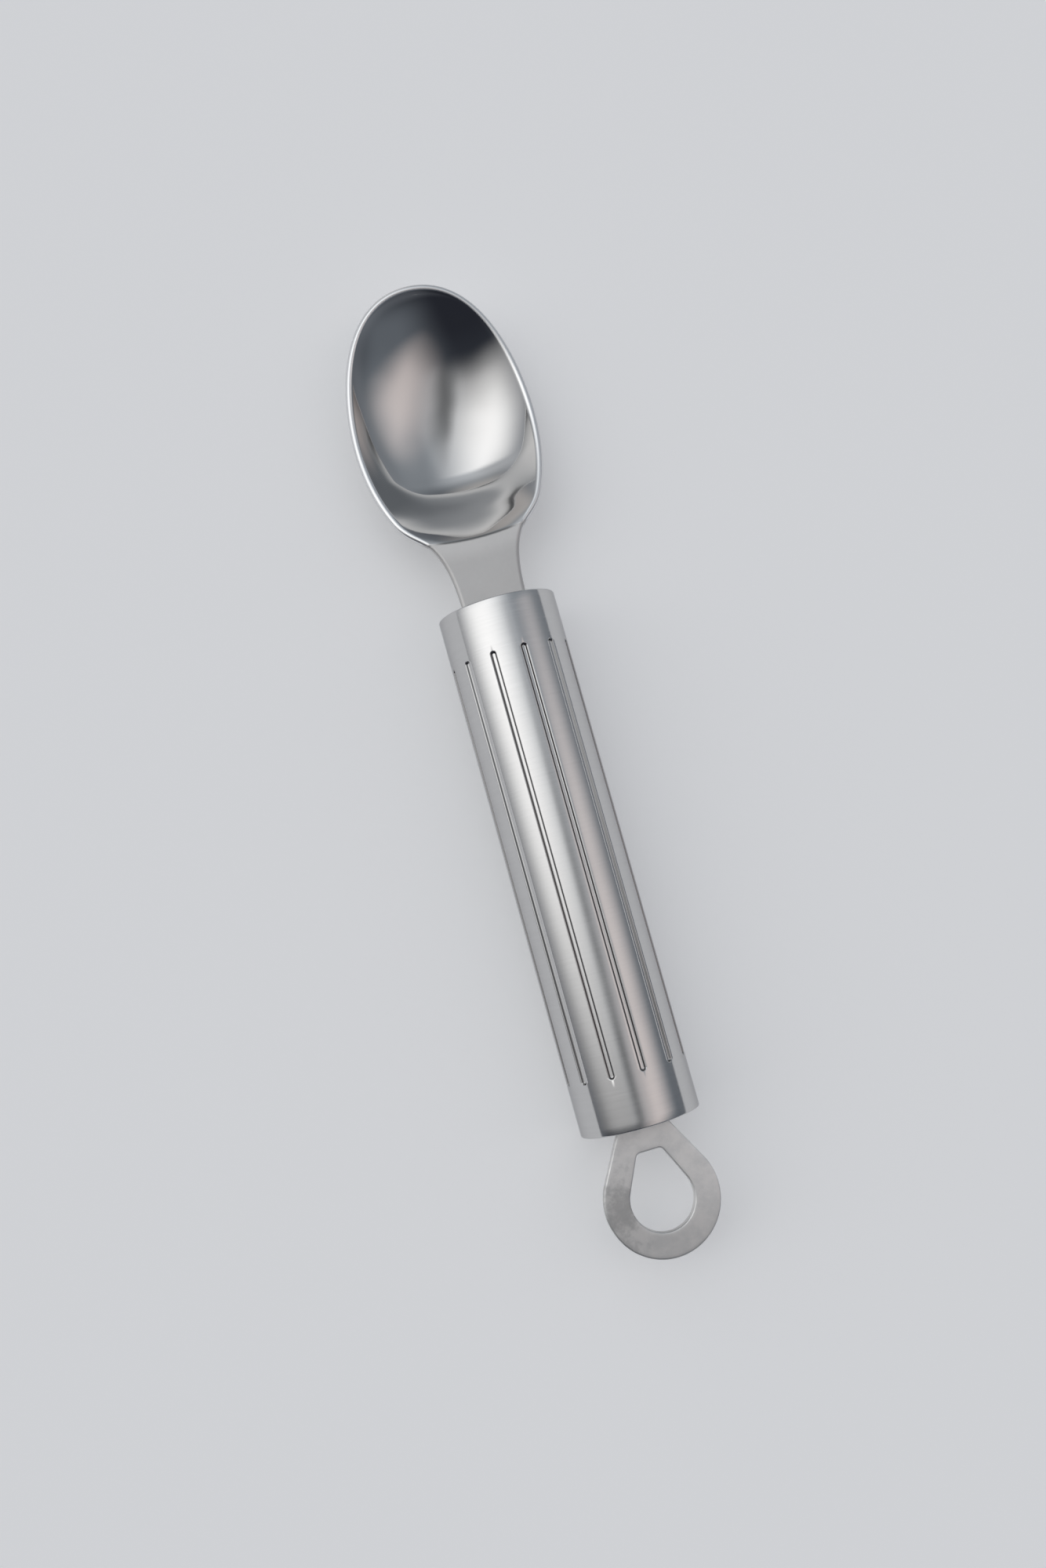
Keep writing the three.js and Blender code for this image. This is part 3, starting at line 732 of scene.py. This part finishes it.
@dataclass
class Blade:
    """The stamped blade: a tang and a flat neck that bend into an oval bowl, with a half-round edge."""

    thickness: float = 1.6
    rim_height: float = 0.8
    tube_end: float = 55.0
    neck_length: float = 16.6
    neck_straight: float = 0.6
    neck_width: float = 14.0
    tang_length: float = 30.0
    length: float = 55.66
    width: float = 39.72
    depth: float = 11.7
    widest_at: float = 24.4
    shoulder_at: float = 6.7
    deepest_at: float = 17.0
    rear_reach: float = 30.8
    shoulder_handles: Pair = (18.0, 6.4)
    nose_handles: Pair = (11.9, 14.5)
    side_slope: float = 45.0
    wall_slope: float = 42.0
    tip_slope: float = 56.0
    wall_share: float = 0.5
    floor_share: float = 0.25
    tip_share: float = 0.37
    tip_height: float = 0.8
    rim_sag: float = 2.8
    flatness: float = 0.36
    crease_reach: float = 0.45
    crease_bow: float = 0.9
    crease_bow_reach: float = 9.0
    bow_passes: int = 4
    bend_half: float = 1.0
    mitre_reach: float = 0.85
    tip_arc_half: float = 10.0
    tip_blend: Pair = (2.0, 4.0)
    tip_gap: float = 1e-5
    slope_step: float = 0.01
    slope_stops: Pair = (1e-4, 3e-2)
    least_half: float = 1e-6
    most_across: float = 1.1
    even_share: float = 0.6
    columns: int = 96
    edge_steps: int = 10
    rows: tuple[int, int, int, int] = (10, 36, 16, 62)
    nose_rows: int = 58

    def __post_init__(self) -> None:
        """Works out the sizes and curves that follow from the fields."""
        band = self.rim_height * (1 + math.sin(math.radians(self.side_slope)))
        self.crease = self.tube_end + self.neck_length
        self.tip_at = self.length - self.rim_height * (1 + math.sin(math.radians(self.tip_slope)))
        self.oval_half = self.width / 2 - band
        self.neck_half = self.neck_width / 2 - self.rim_height
        self.shoulder_start = self.neck_straight - self.neck_length
        share = (self.shoulder_at - self.widest_at) / self.rear_reach
        join = self.oval_half * math.sqrt(1 - share**2)
        slope = -self.oval_half * share / (self.rear_reach * math.sqrt(1 - share**2))
        near, far = self.shoulder_handles
        self.shoulder = Cubic(
            (self.shoulder_start, self.neck_half),
            (self.shoulder_start + near, self.neck_half),
            (self.shoulder_at - far, join - far * slope),
            (self.shoulder_at, join),
        )
        side, tip = self.nose_handles
        self.nose = Cubic(
            (self.widest_at, self.oval_half),
            (self.widest_at + side, self.oval_half),
            (self.tip_at, tip),
            (self.tip_at, 0.0),
        )
        wall, floor_handle = self.wall_share * self.deepest_at, self.floor_share * self.deepest_at
        steep, rise = math.radians(self.wall_slope), math.radians(self.tip_slope)
        tip_handle = self.tip_share * (self.tip_at - self.deepest_at)
        wall_rise = self.depth - wall * math.sin(steep)
        tip_rise = self.depth + self.tip_height - tip_handle * math.sin(rise)
        front = floor_handle * math.sqrt(tip_rise / wall_rise)
        self.rear_floor = Cubic(
            (0.0, 0.0),
            (wall * math.cos(steep), -wall * math.sin(steep)),
            (self.deepest_at - floor_handle, -self.depth),
            (self.deepest_at, -self.depth),
        )
        self.front_floor = Cubic(
            (self.deepest_at, -self.depth),
            (self.deepest_at + front, -self.depth),
            (self.tip_at - tip_handle * math.cos(rise), self.tip_height - tip_handle * math.sin(rise)),
            (self.tip_at, self.tip_height),
        )
        # Inner controls at four thirds of the sag lower a cubic's middle by the sag itself.
        sag, third = -4 / 3 * self.rim_sag, self.tip_at / 3
        self.rim = Cubic((0.0, 0.0), (third, sag), (2 * third, sag), (self.tip_at, self.tip_height))

    def half_width(self, at: Array) -> Array:
        """Half the upper face's width: neck, shoulder curve, rear ellipse and nose curve, one after another.

        Args:
            at: Distance ahead of the crease.

        Returns:
            Half the width there.
        """
        share = np.clip((at - self.widest_at) / self.rear_reach, -1.0, 1.0)
        oval = self.oval_half * np.sqrt(1 - share**2)
        nose = self.nose.read(0, np.clip(at, self.widest_at, self.tip_at))
        shoulder = self.shoulder.read(0, np.clip(at, self.shoulder_start, self.shoulder_at))
        beyond = [at > self.widest_at, at > self.shoulder_at, at > self.shoulder_start]
        return np.select(beyond, [nose, oval, shoulder], self.neck_half)

    def bow(self, at: Array, across: Array) -> Array:
        """How far the crease's bow draws a section towards the tube: most in the middle of the crease, none
        at the rims, and fading as a square with the distance from the crease.

        Args:
            at: Distance of the section ahead of the crease.
            across: Share of the half width.

        Returns:
            The distance drawn back.
        """
        fade = np.maximum(0.0, 1 - np.abs(at) / self.crease_bow_reach) ** 2
        return self.crease_bow * fade * (1 - np.minimum(across**2, 1.0))

    def floor(self, at: Array) -> Array:
        """Height of the middle line: flat neck, a rear wall that eases to the deepest point, and a long rise
        to the tip. The crease is a bend of its own: the slope grows evenly over its reach on either side.

        Args:
            at: Distance ahead of the crease.

        Returns:
            The height above the neck's face.
        """
        rear = self.rear_floor.read(0, np.clip(at, 0.0, self.deepest_at))
        front = self.front_floor.read(0, np.clip(at, self.deepest_at, self.tip_at))
        plain = np.where(at <= 0, 0.0, np.where(at < self.deepest_at, rear, front))
        slope, reach = math.tan(math.radians(self.wall_slope)), self.crease_reach
        bend = slope * np.maximum(at, 0.0) - slope * (at + reach) ** 2 / (4 * reach)
        return plain + np.where(np.abs(at) < reach, bend, 0.0)

    def height(self, x: Array, at: Array) -> Array:
        """Height of the upper face: the floor in the middle, the rim at the sides, and between them a rise
        that is part square and part fourth power of the share of the half width.

        Args:
            x: Distance from the middle line.
            at: Distance ahead of the crease.

        Returns:
            The height in the tube's frame.
        """
        place = np.minimum(at, self.tip_at - self.tip_gap)
        across = x / np.maximum(self.half_width(place), self.least_half)
        across = np.clip(across, -self.most_across, self.most_across)
        at = place
        for _ in range(self.bow_passes):
            at = place + self.bow(at, across)
        along = np.clip(at / self.tip_at, 0.0, 1.0)
        flat = self.flatness * np.sin(np.pi * along)
        rise = (1 - flat) * across**2 + flat * across**4
        floor, rim = self.floor(at), self.rim.axis(1, along)
        return self.rim_height + floor + (rim - floor) * rise

    def plan(self) -> tuple[Array, Array]:
        """Where the grid's points lie in plan: straight rows up to the widest place, then rows that bow
        forward more and more until the last one is the arc of the tip itself.

        Returns:
            Distance from the middle line and distance ahead of the crease, rows by columns.
        """
        u = np.linspace(-1.0, 1.0, self.columns + 1)
        across = self.even_share * u + (1 - self.even_share) * np.sin(np.pi * u / 2)
        start = -self.neck_length - self.tang_length + self.rim_height
        marks = (start, self.shoulder_start, -self.bend_half, self.bend_half, self.widest_at)
        spans = zip(marks, marks[1:], self.rows)
        straight = np.concatenate([np.linspace(a, b, count, endpoint=False) for a, b, count in spans])
        x = across * self.half_width(straight)[:, None]
        at = straight[:, None] - self.bow(straight[:, None], across)
        arc_at = self.nose.read(1, np.abs(across) * self.tip_arc_half)
        arc_end = self.nose.read(1, np.array([self.tip_arc_half]))[0]
        bow = (self.tip_at - arc_at) / (self.tip_at - arc_end)
        share = np.linspace(0.0, 1.0, self.nose_rows)[:, None]
        middle = self.widest_at + (self.tip_at - self.widest_at) * share
        edge = self.widest_at + (arc_end - self.widest_at) * share
        nose_x = across * self.half_width(edge)
        nose_at = middle - (middle - edge) * bow
        return np.vstack([x, nose_x]), np.vstack([at, nose_at])

    def normals(self, x: Array, at: Array, top: Array) -> Array:
        """Normals of the upper face. They follow the slopes of the height, and next to the middle line of the
        nose, where the width runs out, the grid's own two directions.

        Args:
            x: Distance from the middle line.
            at: Distance ahead of the crease.
            top: The upper face's points.

        Returns:
            The unit normals.
        """
        step = self.slope_step
        ahead = np.minimum(at + step, self.tip_at - self.slope_stops[0])
        behind = np.minimum(at - step, self.tip_at - self.slope_stops[1])
        slope_x = (self.height(x + step, at) - self.height(x - step, at)) / (2 * step)
        slope_y = (self.height(x, ahead) - self.height(x, behind)) / (ahead - behind)
        normal = unit(np.stack([-slope_x, -slope_y, np.ones_like(x)], axis=-1))
        nose = slice(sum(self.rows), None)
        forward, sideways = np.gradient(top[nose], axis=(0, 1), edge_order=2)
        outer = smooth_share(*self.tip_blend, np.abs(x[nose]))[..., None]
        normal[nose] = normal[nose] * outer + unit(np.cross(sideways, forward)) * (1 - outer)
        return unit(normal)

    def shell(self) -> Shell:
        """The blade's sheet. The lower face lies one thickness under the upper one along its normals, and is
        drawn straight across the inside of the bend, where plain offsets would cross.

        Returns:
            The closed sheet.
        """
        x, at = self.plan()
        top = np.stack([x, self.crease + at, self.height(x, at)], axis=-1)
        normal = self.normals(x, at, top)
        under = top - normal * self.thickness
        line = at[: sum(self.rows), 0]
        first = int(np.searchsorted(line, -self.mitre_reach)) - 1
        last = int(np.searchsorted(line, self.mitre_reach))
        share = ((line[first : last + 1] - line[first]) / (line[last] - line[first]))[:, None, None]
        under[first : last + 1] = under[first] * (1 - share) + under[last] * share
        return rolled_sheet(top, normal, self.thickness, self.edge_steps, under)

    def build(self) -> bpy.types.Object:
        """The dressed blade in the scene."""
        finish = PolishedSteel()
        maps = ("", finish.rim_map)
        return make_piece("scoop_blade_fine", [self.shell()], finish, "scoop_blade", maps)


@dataclass
class Grip:
    """The tube handle, with grooves pressed along it that stop short of both ends."""

    radius: float = 12.5
    wall: float = 1.0
    length: float = 110.0
    grooves: int = 12
    groove_width: float = 1.5
    groove_depth: float = 0.5
    groove_margin: float = 10.6
    groove_flat: float = 0.3
    clock: float = -6.5
    end_round: float = 0.28
    groove_steps: int = 18
    land_steps: int = 12
    runout_steps: int = 12
    end_rows: int = 8
    middle_rows: int = 14
    round_rows: int = 7
    maps: tuple[str, str] = ("along", "groove_shade")

    def angles(self) -> tuple[Array, Array]:
        """Angles round the tube from its top, close together in the grooves, and each one's share of a
        groove: 0 at the groove's middle and 1 from its edge on.

        Returns:
            The angles and the shares.
        """
        pitch = 2 * math.pi / self.grooves
        half = self.groove_width / 2 / self.radius
        inside = np.linspace(-half, half, self.groove_steps + 1)
        land = np.linspace(half, pitch - half, self.land_steps + 1)[1:-1]
        cell = np.concatenate([inside, land])
        centres = math.radians(self.clock) + pitch / 2 + pitch * np.arange(self.grooves)
        angles = (centres[:, None] + cell).ravel()
        return angles, np.tile(np.minimum(np.abs(cell) / half, 1.0), self.grooves)

    def section(self) -> tuple[Array, Array]:
        """The wall's section: along the outside, round the front end, back inside and round the rear end.

        Returns:
            For each row its place along the axis and its depth under the outer face.
        """
        edge, wall = self.end_round, self.wall
        flat = self.length / 2 - edge
        stop = self.length / 2 - self.groove_margin
        near = np.linspace(0.0, self.groove_width / 2, self.runout_steps + 1) - stop
        middle = np.linspace(near[-1], -near[-1], self.middle_rows)[1:-1]
        rear = np.linspace(-flat, -stop, self.end_rows)[:-1]
        front = np.linspace(stop, flat, self.end_rows)[1:]
        outer = np.concatenate([rear, near, middle, -near[::-1], front])
        turn = np.linspace(0, np.pi / 2, self.round_rows)[1:]
        out, back = edge * np.sin(turn), edge * np.cos(turn)
        rows = (
            (outer, 0 * outer),
            (flat + out, edge - back),
            (flat + back, wall - edge + out),
            (outer[::-1][1:], wall + 0 * outer[1:]),
            (-flat - out, wall - edge + back),
            (-flat - back[:-1], edge - out[:-1]),
        )
        y, down = (np.concatenate(parts) for parts in zip(*rows))
        return y, down

    def shell(self) -> Shell:
        """The tube: radius = outer radius - depth in the wall - groove depth * dip. The dip falls from 1 on
        the groove's flat bottom to 0 at its edge with the distance from the groove's middle line, so that its
        ends are round.

        Returns:
            The closed tube, with a map whose first axis runs along it and marks for painted shade on the
            grooves' steep sides.
        """
        angle, share = self.angles()
        y, down = self.section()
        half = self.groove_width / 2
        past = np.maximum(np.abs(y) - (self.length / 2 - self.groove_margin - half), 0.0) / half
        dip = 1 - smooth_share(self.groove_flat, 1.0, np.hypot(share, past[:, None]))
        radius = self.radius - down[:, None] - self.groove_depth * dip
        along = np.broadcast_to(y[:, None], radius.shape)
        points = np.stack([radius * np.sin(angle), along, radius * np.cos(angle)], axis=-1)
        index = np.arange(radius.size).reshape(radius.shape)
        quads = quads_of(index, close_rows=True, close_columns=True)
        row, column = np.divmod(quads, radius.shape[1])
        around = np.append(angle, angle[0] + 2 * np.pi)
        last = column.max(axis=1, keepdims=True) > 1
        wrapped = np.where((column == 0) & last, radius.shape[1], column)
        corners = np.stack([y[row] / self.length + 0.5, (around[wrapped] - angle[0]) / (2 * np.pi)], axis=-1)
        return Shell(points.reshape(-1, 3), quads, corners, (4 * dip * (1 - dip)).ravel()).outward()

    def build(self) -> bpy.types.Object:
        """The dressed tube in the scene."""
        finish = SatinSteel(along_map=self.maps[0], groove_shade_map=self.maps[1])
        return make_piece("handle_tube_fine", [self.shell()], finish, "handle_tube", self.maps)


@dataclass(frozen=True)
class Drop:
    """A drop's outline: a circle whose two tangents run up to a flat top with round corners."""

    radius: float
    top_half: float
    top: float
    corner: float
    least: float = 1e-3
    finer: int = 40
    apart: int = 12

    def reach(self, angle: Array) -> Array:
        """Distance from the centre to the outline: the nearest of the circle's side, the tangents and the top
        along each ray, with the top's corners rounded.

        Args:
            angle: Directions from the centre, from +X towards +Y.

        Returns:
            The distance in each direction.
        """
        far = math.hypot(self.top_half, self.top)
        lean = math.atan2(self.top, self.top_half) - math.acos(self.radius / far)
        rays = np.where(np.cos(angle) < 0, np.pi - angle, angle)
        rays = np.mod(rays + np.pi, 2 * np.pi) - np.pi
        side = self.radius / np.maximum(np.cos(rays - lean), self.least)
        flat = self.top / np.maximum(np.sin(rays), self.least)
        plain = np.where(rays < lean, self.radius, np.minimum(side, flat))
        inner_y = self.top - self.corner
        inner_x = (self.radius - self.corner - inner_y * math.sin(lean)) / math.cos(lean)
        middle = inner_x * np.cos(rays) + inner_y * np.sin(rays)
        off = inner_x**2 + inner_y**2 - middle**2
        curved = middle + np.sqrt(np.maximum(self.corner**2 - off, 0.0))
        place = np.arctan2(curved * np.sin(rays) - inner_y, curved * np.cos(rays) - inner_x)
        on_corner = (place > lean) & (place < math.pi / 2) & (off < self.corner**2) & (rays > lean)
        return np.where(on_corner, curved, plain)

    def outline(self, turns: int) -> tuple[Array, Array]:
        """The outline's points once round, and the outward direction at each, square to the outline.

        Args:
            turns: How many points.

        Returns:
            Points and unit directions in plan.
        """
        dense = np.linspace(0, 2 * np.pi, self.finer * turns, endpoint=False)
        reach = self.reach(dense)
        plan = np.stack([reach * np.cos(dense), reach * np.sin(dense)], axis=-1)
        along = np.roll(plan, -self.apart, axis=0) - np.roll(plan, self.apart, axis=0)
        out = unit(np.stack([along[:, 1], -along[:, 0]], axis=-1))
        return plan[:: self.finer], out[:: self.finer]


@dataclass
class HangLoop:
    """The flat loop: a drop-shaped plate with a drop-shaped eye, and a thinner tang inside the tube."""

    thickness: float = 2.0
    edge_round: float = 0.4
    diameter: float = 24.1
    eye_diameter: float = 13.2
    centre_y: float = -71.1
    neck_half: float = 5.0
    neck_y: float = -55.3
    neck_corner: float = 0.5
    eye_top_half: float = 2.6
    eye_top_y: float = -61.2
    eye_corner: float = 1.1
    tang_width: float = 9.2
    tang_thickness: float = 1.4
    tang_end_y: float = -29.0
    tang_overlap: float = 2.0
    tang_columns: int = 9
    tang_rows: int = 24
    tang_edge_steps: int = 8
    turns: int = 320
    edge_steps: int = 6
    face_steps: int = 8

    def plate(self) -> Shell:
        """The plate: its section, a rounded oblong from the outer outline to the eye, carried round the eye.

        Returns:
            The closed ring.
        """
        whole = Drop(self.diameter / 2, self.neck_half, self.neck_y - self.centre_y, self.neck_corner)
        hole = Drop(self.eye_diameter / 2, self.eye_top_half, self.eye_top_y - self.centre_y, self.eye_corner)
        outer, outer_out = whole.outline(self.turns)
        eye, eye_out = hole.outline(self.turns)
        edge, level = self.edge_round, self.thickness / 2 - self.edge_round
        turn = np.linspace(0, np.pi / 2, self.edge_steps + 1)
        inset, height = edge * (1 - np.cos(turn)), level + edge * np.sin(turn)
        outer_edge = outer - outer_out * inset[:, None, None]
        eye_edge = eye + eye_out * inset[::-1, None, None]
        face = np.linspace(0, 1, self.face_steps + 1)[1:-1, None, None]
        flat = outer_edge[-1] * (1 - face) + eye_edge[0] * face
        upper = np.concatenate([outer_edge, flat, eye_edge])
        z = np.concatenate([height, np.full(self.face_steps - 1, self.thickness / 2), height[::-1]])
        plan = np.concatenate([upper, upper[::-1]])
        levels = np.concatenate([z, -z[::-1]])
        x, y = plan[..., 0], plan[..., 1] + self.centre_y
        points = np.stack([x, y, np.broadcast_to(levels[:, None], x.shape)], axis=-1)
        index = np.arange(x.size).reshape(x.shape)
        return Shell(points.reshape(-1, 3), quads_of(index, close_rows=True, close_columns=True)).outward()

    def tang(self) -> Shell:
        """The tang, a flat strip with half-round edges that starts inside the plate.

        Returns:
            The closed strip.
        """
        half = self.tang_thickness / 2
        across = np.linspace(half - self.tang_width / 2, self.tang_width / 2 - half, self.tang_columns)
        along = np.linspace(self.neck_y - self.tang_overlap, self.tang_end_y - half, self.tang_rows)
        x, y = np.meshgrid(across, along)
        top = np.stack([x, y, np.full_like(x, half)], axis=-1)
        normal = np.zeros_like(top)
        normal[..., 2] = 1.0
        under = top - normal * self.tang_thickness
        return rolled_sheet(top, normal, self.tang_thickness, self.tang_edge_steps, under)

    def build(self) -> bpy.types.Object:
        """The dressed loop in the scene."""
        return make_piece("hang_loop_fine", [self.plate(), self.tang()], MattSteel(), "hang_loop")


@dataclass
class HandleInside:
    """The solids inside the tube keep their shapes. Each field is a word in their names, with its finish."""

    disc: Finish = SatinSteel(name="end_disc_steel", gloss=0.3)
    core: Finish = CorePolymer()
    pin: Finish = PinSteel()

    def dress(self) -> None:
        """Gives each CAD node that still shows its finish, by the word in its name."""
        made = {word: finish.material() for word, finish in vars(self).items()}
        for name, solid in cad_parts.items():
            word = next((word for word in made if word in name), None)
            if word:
                solid.data.materials.clear()
                solid.data.materials.append(made[word])
                log.info("%s: kept, dressed in %s", name, made[word].name)


@dataclass(frozen=True)
class Softbox:
    """A soft-edged oblong on the dome's flat map of angles from straight up: a light, or a shading flag."""

    aim: Pair
    half: Pair
    tilt: float
    soft: Pair
    colour: Triple = (0.0, 0.0, 0.0)
    roundness: float = 3.0

    def share(self, board: Board, plane: Socket) -> Socket:
        """How much of a direction the oblong fills: all inside it, eased to nothing across its soft edge. The
        distance is a power norm of the two shares of the half sizes, so the corners are round.

        Args:
            board: The world's tree.
            plane: Angles from straight up towards +X and +Y, in radians.

        Returns:
            The share.
        """
        given = {
            "Vector": plane,
            "Location": (*map(math.radians, self.aim), 0.0),
            "Rotation": (0.0, 0.0, math.radians(self.tilt)),
            "Scale": (*map(math.radians, self.half), 1.0),
        }
        apart = board.split(board.fill(board.add("Mapping", vector_type="TEXTURE"), given).outputs[0])
        sizes = [board.maths("ABSOLUTE", apart[axis]) for axis in ("X", "Y")]
        powers = [board.maths("POWER", size, self.roundness) for size in sizes]
        reach = board.maths("POWER", board.maths("ADD", *powers), 1 / self.roundness)
        return board.range(reach, *self.soft, 1.0, 0.0)


@dataclass
class Studio:
    """A pale floor under a dome: a wide cool light ahead on the left with a bright one in it, a dim one ahead
    on the right, a warm one on the right, a low fill behind it and a glow at the horizon. A flag shades a
    slanted gap between the bright light and the warm one.
    """

    floor_colour: Triple = (0.82, 0.825, 0.835)
    floor_dullness: float = 0.85
    floor_shine: float = 0.2
    floor_lift: float = 0.27
    floor_half: float = 20.0
    horizon: Triple = (0.12, 0.13, 0.15)
    ring: Pair = (70.0, 86.0)
    dome_dark: Triple = (0.029, 0.032, 0.043)
    dome_pale: Triple = (0.06, 0.07, 0.085)
    ahead: Pair = (-36.0, 10.0)
    boxes: tuple[Softbox, ...] = (
        Softbox(aim=(-35.0, 34.0), half=(60.0, 43.0), tilt=0.0, soft=(0.3, 1.2), colour=(0.54, 0.555, 0.57)),
        Softbox(aim=(-38.0, 10.5), half=(46.0, 21.5), tilt=3.0, soft=(0.0, 1.45), colour=(1.06, 1.04, 1.015)),
        Softbox(aim=(35.0, 32.0), half=(60.0, 45.0), tilt=0.0, soft=(0.3, 1.3), colour=(0.26, 0.28, 0.30)),
        Softbox(aim=(33.0, -6.5), half=(38.0, 14.5), tilt=24.0, soft=(0.05, 1.4), colour=(0.62, 0.52, 0.475)),
        Softbox(aim=(38.0, -32.0), half=(48.0, 42.0), tilt=8.0, soft=(0.2, 1.4), colour=(0.14, 0.158, 0.175)),
        Softbox(aim=(-14.0, 84.0), half=(34.0, 18.0), tilt=0.0, soft=(0.3, 1.3), colour=(0.42, 0.39, 0.36)),
    )
    flag: Softbox = Softbox(aim=(-1.0, -3.0), half=(18.0, 6.0), tilt=36.0, soft=(0.05, 1.4))
    flag_depth: float = 0.62

    def world(self) -> None:
        """Lights the scene from the dome: a ground that darkens towards -Y, a ring at the horizon, the boxes
        added to them, and the flag's share taken off the sum.
        """
        world = bpy.data.worlds.new("studio_dome")
        bpy.context.scene.world = world
        world.use_nodes = True
        board = Board(world.node_tree)
        way = board.add("TexCoord").outputs["Generated"]
        apart = board.split(board.vector("NORMALIZE", way).outputs[0])
        angle = board.maths("ARCCOSINE", apart["Z"])
        flat = {name: apart[name] for name in ("X", "Y")}
        sideways = board.fill(board.add("CombineXYZ"), flat).outputs[0]
        plane = board.scale(board.vector("NORMALIZE", sideways).outputs[0], angle)
        ahead = board.range(board.split(plane)["Y"], *map(math.radians, self.ahead), 0.0, 1.0)
        dome = board.blend(ahead, self.dome_dark, self.dome_pale)
        ring = board.range(angle, *map(math.radians, self.ring), 0.0, 1.0)
        total = board.blend(ring, dome, self.horizon)
        for box in self.boxes:
            lit = board.scale(box.colour, box.share(board, plane))
            total = board.vector("ADD", total, lit).outputs[0]
        shaded = board.maths("MULTIPLY", self.flag.share(board, plane), -self.flag_depth)
        total = board.scale(total, board.maths("ADD", shaded, 1.0))
        ground = board.fill(board.add("Background"), {"Color": total})
        board.feed(board.add("OutputWorld").inputs["Surface"], ground.outputs[0])

    def floor(self) -> bpy.types.Object:
        """Lays the floor just under the scoop.

        Returns:
            The floor.
        """
        reach, level = self.floor_half, float(cad_box[0][2])
        signs = ((-1, -1), (1, -1), (1, 1), (-1, 1))
        corners = [(reach * x, reach * y, level) for x, y in signs]
        mesh = bpy.data.meshes.new("studio_floor")
        mesh.from_pydata(corners, [], [(0, 1, 2, 3)])
        skin = Surface("pale_floor")
        rays = skin.add("LightPath").outputs
        seen = skin.maths("MAXIMUM", rays["Is Camera Ray"], rays["Is Glossy Ray"])
        seen = skin.maths("MAXIMUM", seen, rays["Is Transmission Ray"])
        coat = {
            "Base Color": self.floor_colour,
            "Roughness": self.floor_dullness,
            "Specular IOR Level": self.floor_shine,
            "Emission Color": self.floor_colour,
            "Emission Strength": skin.maths("MULTIPLY", seen, self.floor_lift),
        }
        mesh.materials.append(skin.coat(coat))
        floor = bpy.data.objects.new("studio_floor", mesh)
        bpy.context.scene.collection.objects.link(floor)
        return floor


@dataclass(frozen=True)
class PortraitCamera:
    """The camera over the scoop, at the place and turn that the photograph was taken from."""

    eye: Triple = (-0.03934, -0.03298, 0.32687)
    turn: Triple = (6.6659, -4.6947, -15.6081)
    lens: float = 35.08
    sensor: float = 36.0
    clip: Pair = (0.01, 100.0)

    def place(self) -> bpy.types.Object:
        """Sets the scene's camera.

        Returns:
            The camera.
        """
        data = bpy.data.cameras.new("portrait_camera")
        data.lens, data.sensor_width, data.sensor_fit = self.lens, self.sensor, "AUTO"
        data.clip_start, data.clip_end = self.clip
        camera = bpy.data.objects.new("portrait_camera", data)
        camera.location = self.eye
        camera.rotation_euler = tuple(math.radians(angle) for angle in self.turn)
        bpy.context.scene.collection.objects.link(camera)
        bpy.context.scene.camera = camera
        return camera


def main() -> None:
    """Builds the camera, the light, the pieces and their finishes."""
    logging.basicConfig(level=logging.INFO, format="%(message)s")
    bpy.context.scene.view_settings.view_transform = "Standard"
    PortraitCamera().place()
    studio = Studio()
    studio.world()
    studio.floor()
    for assembly in (Blade(), Grip(), HangLoop()):
        assembly.build()
    HandleInside().dress()


if __name__ == "__main__":
    main()
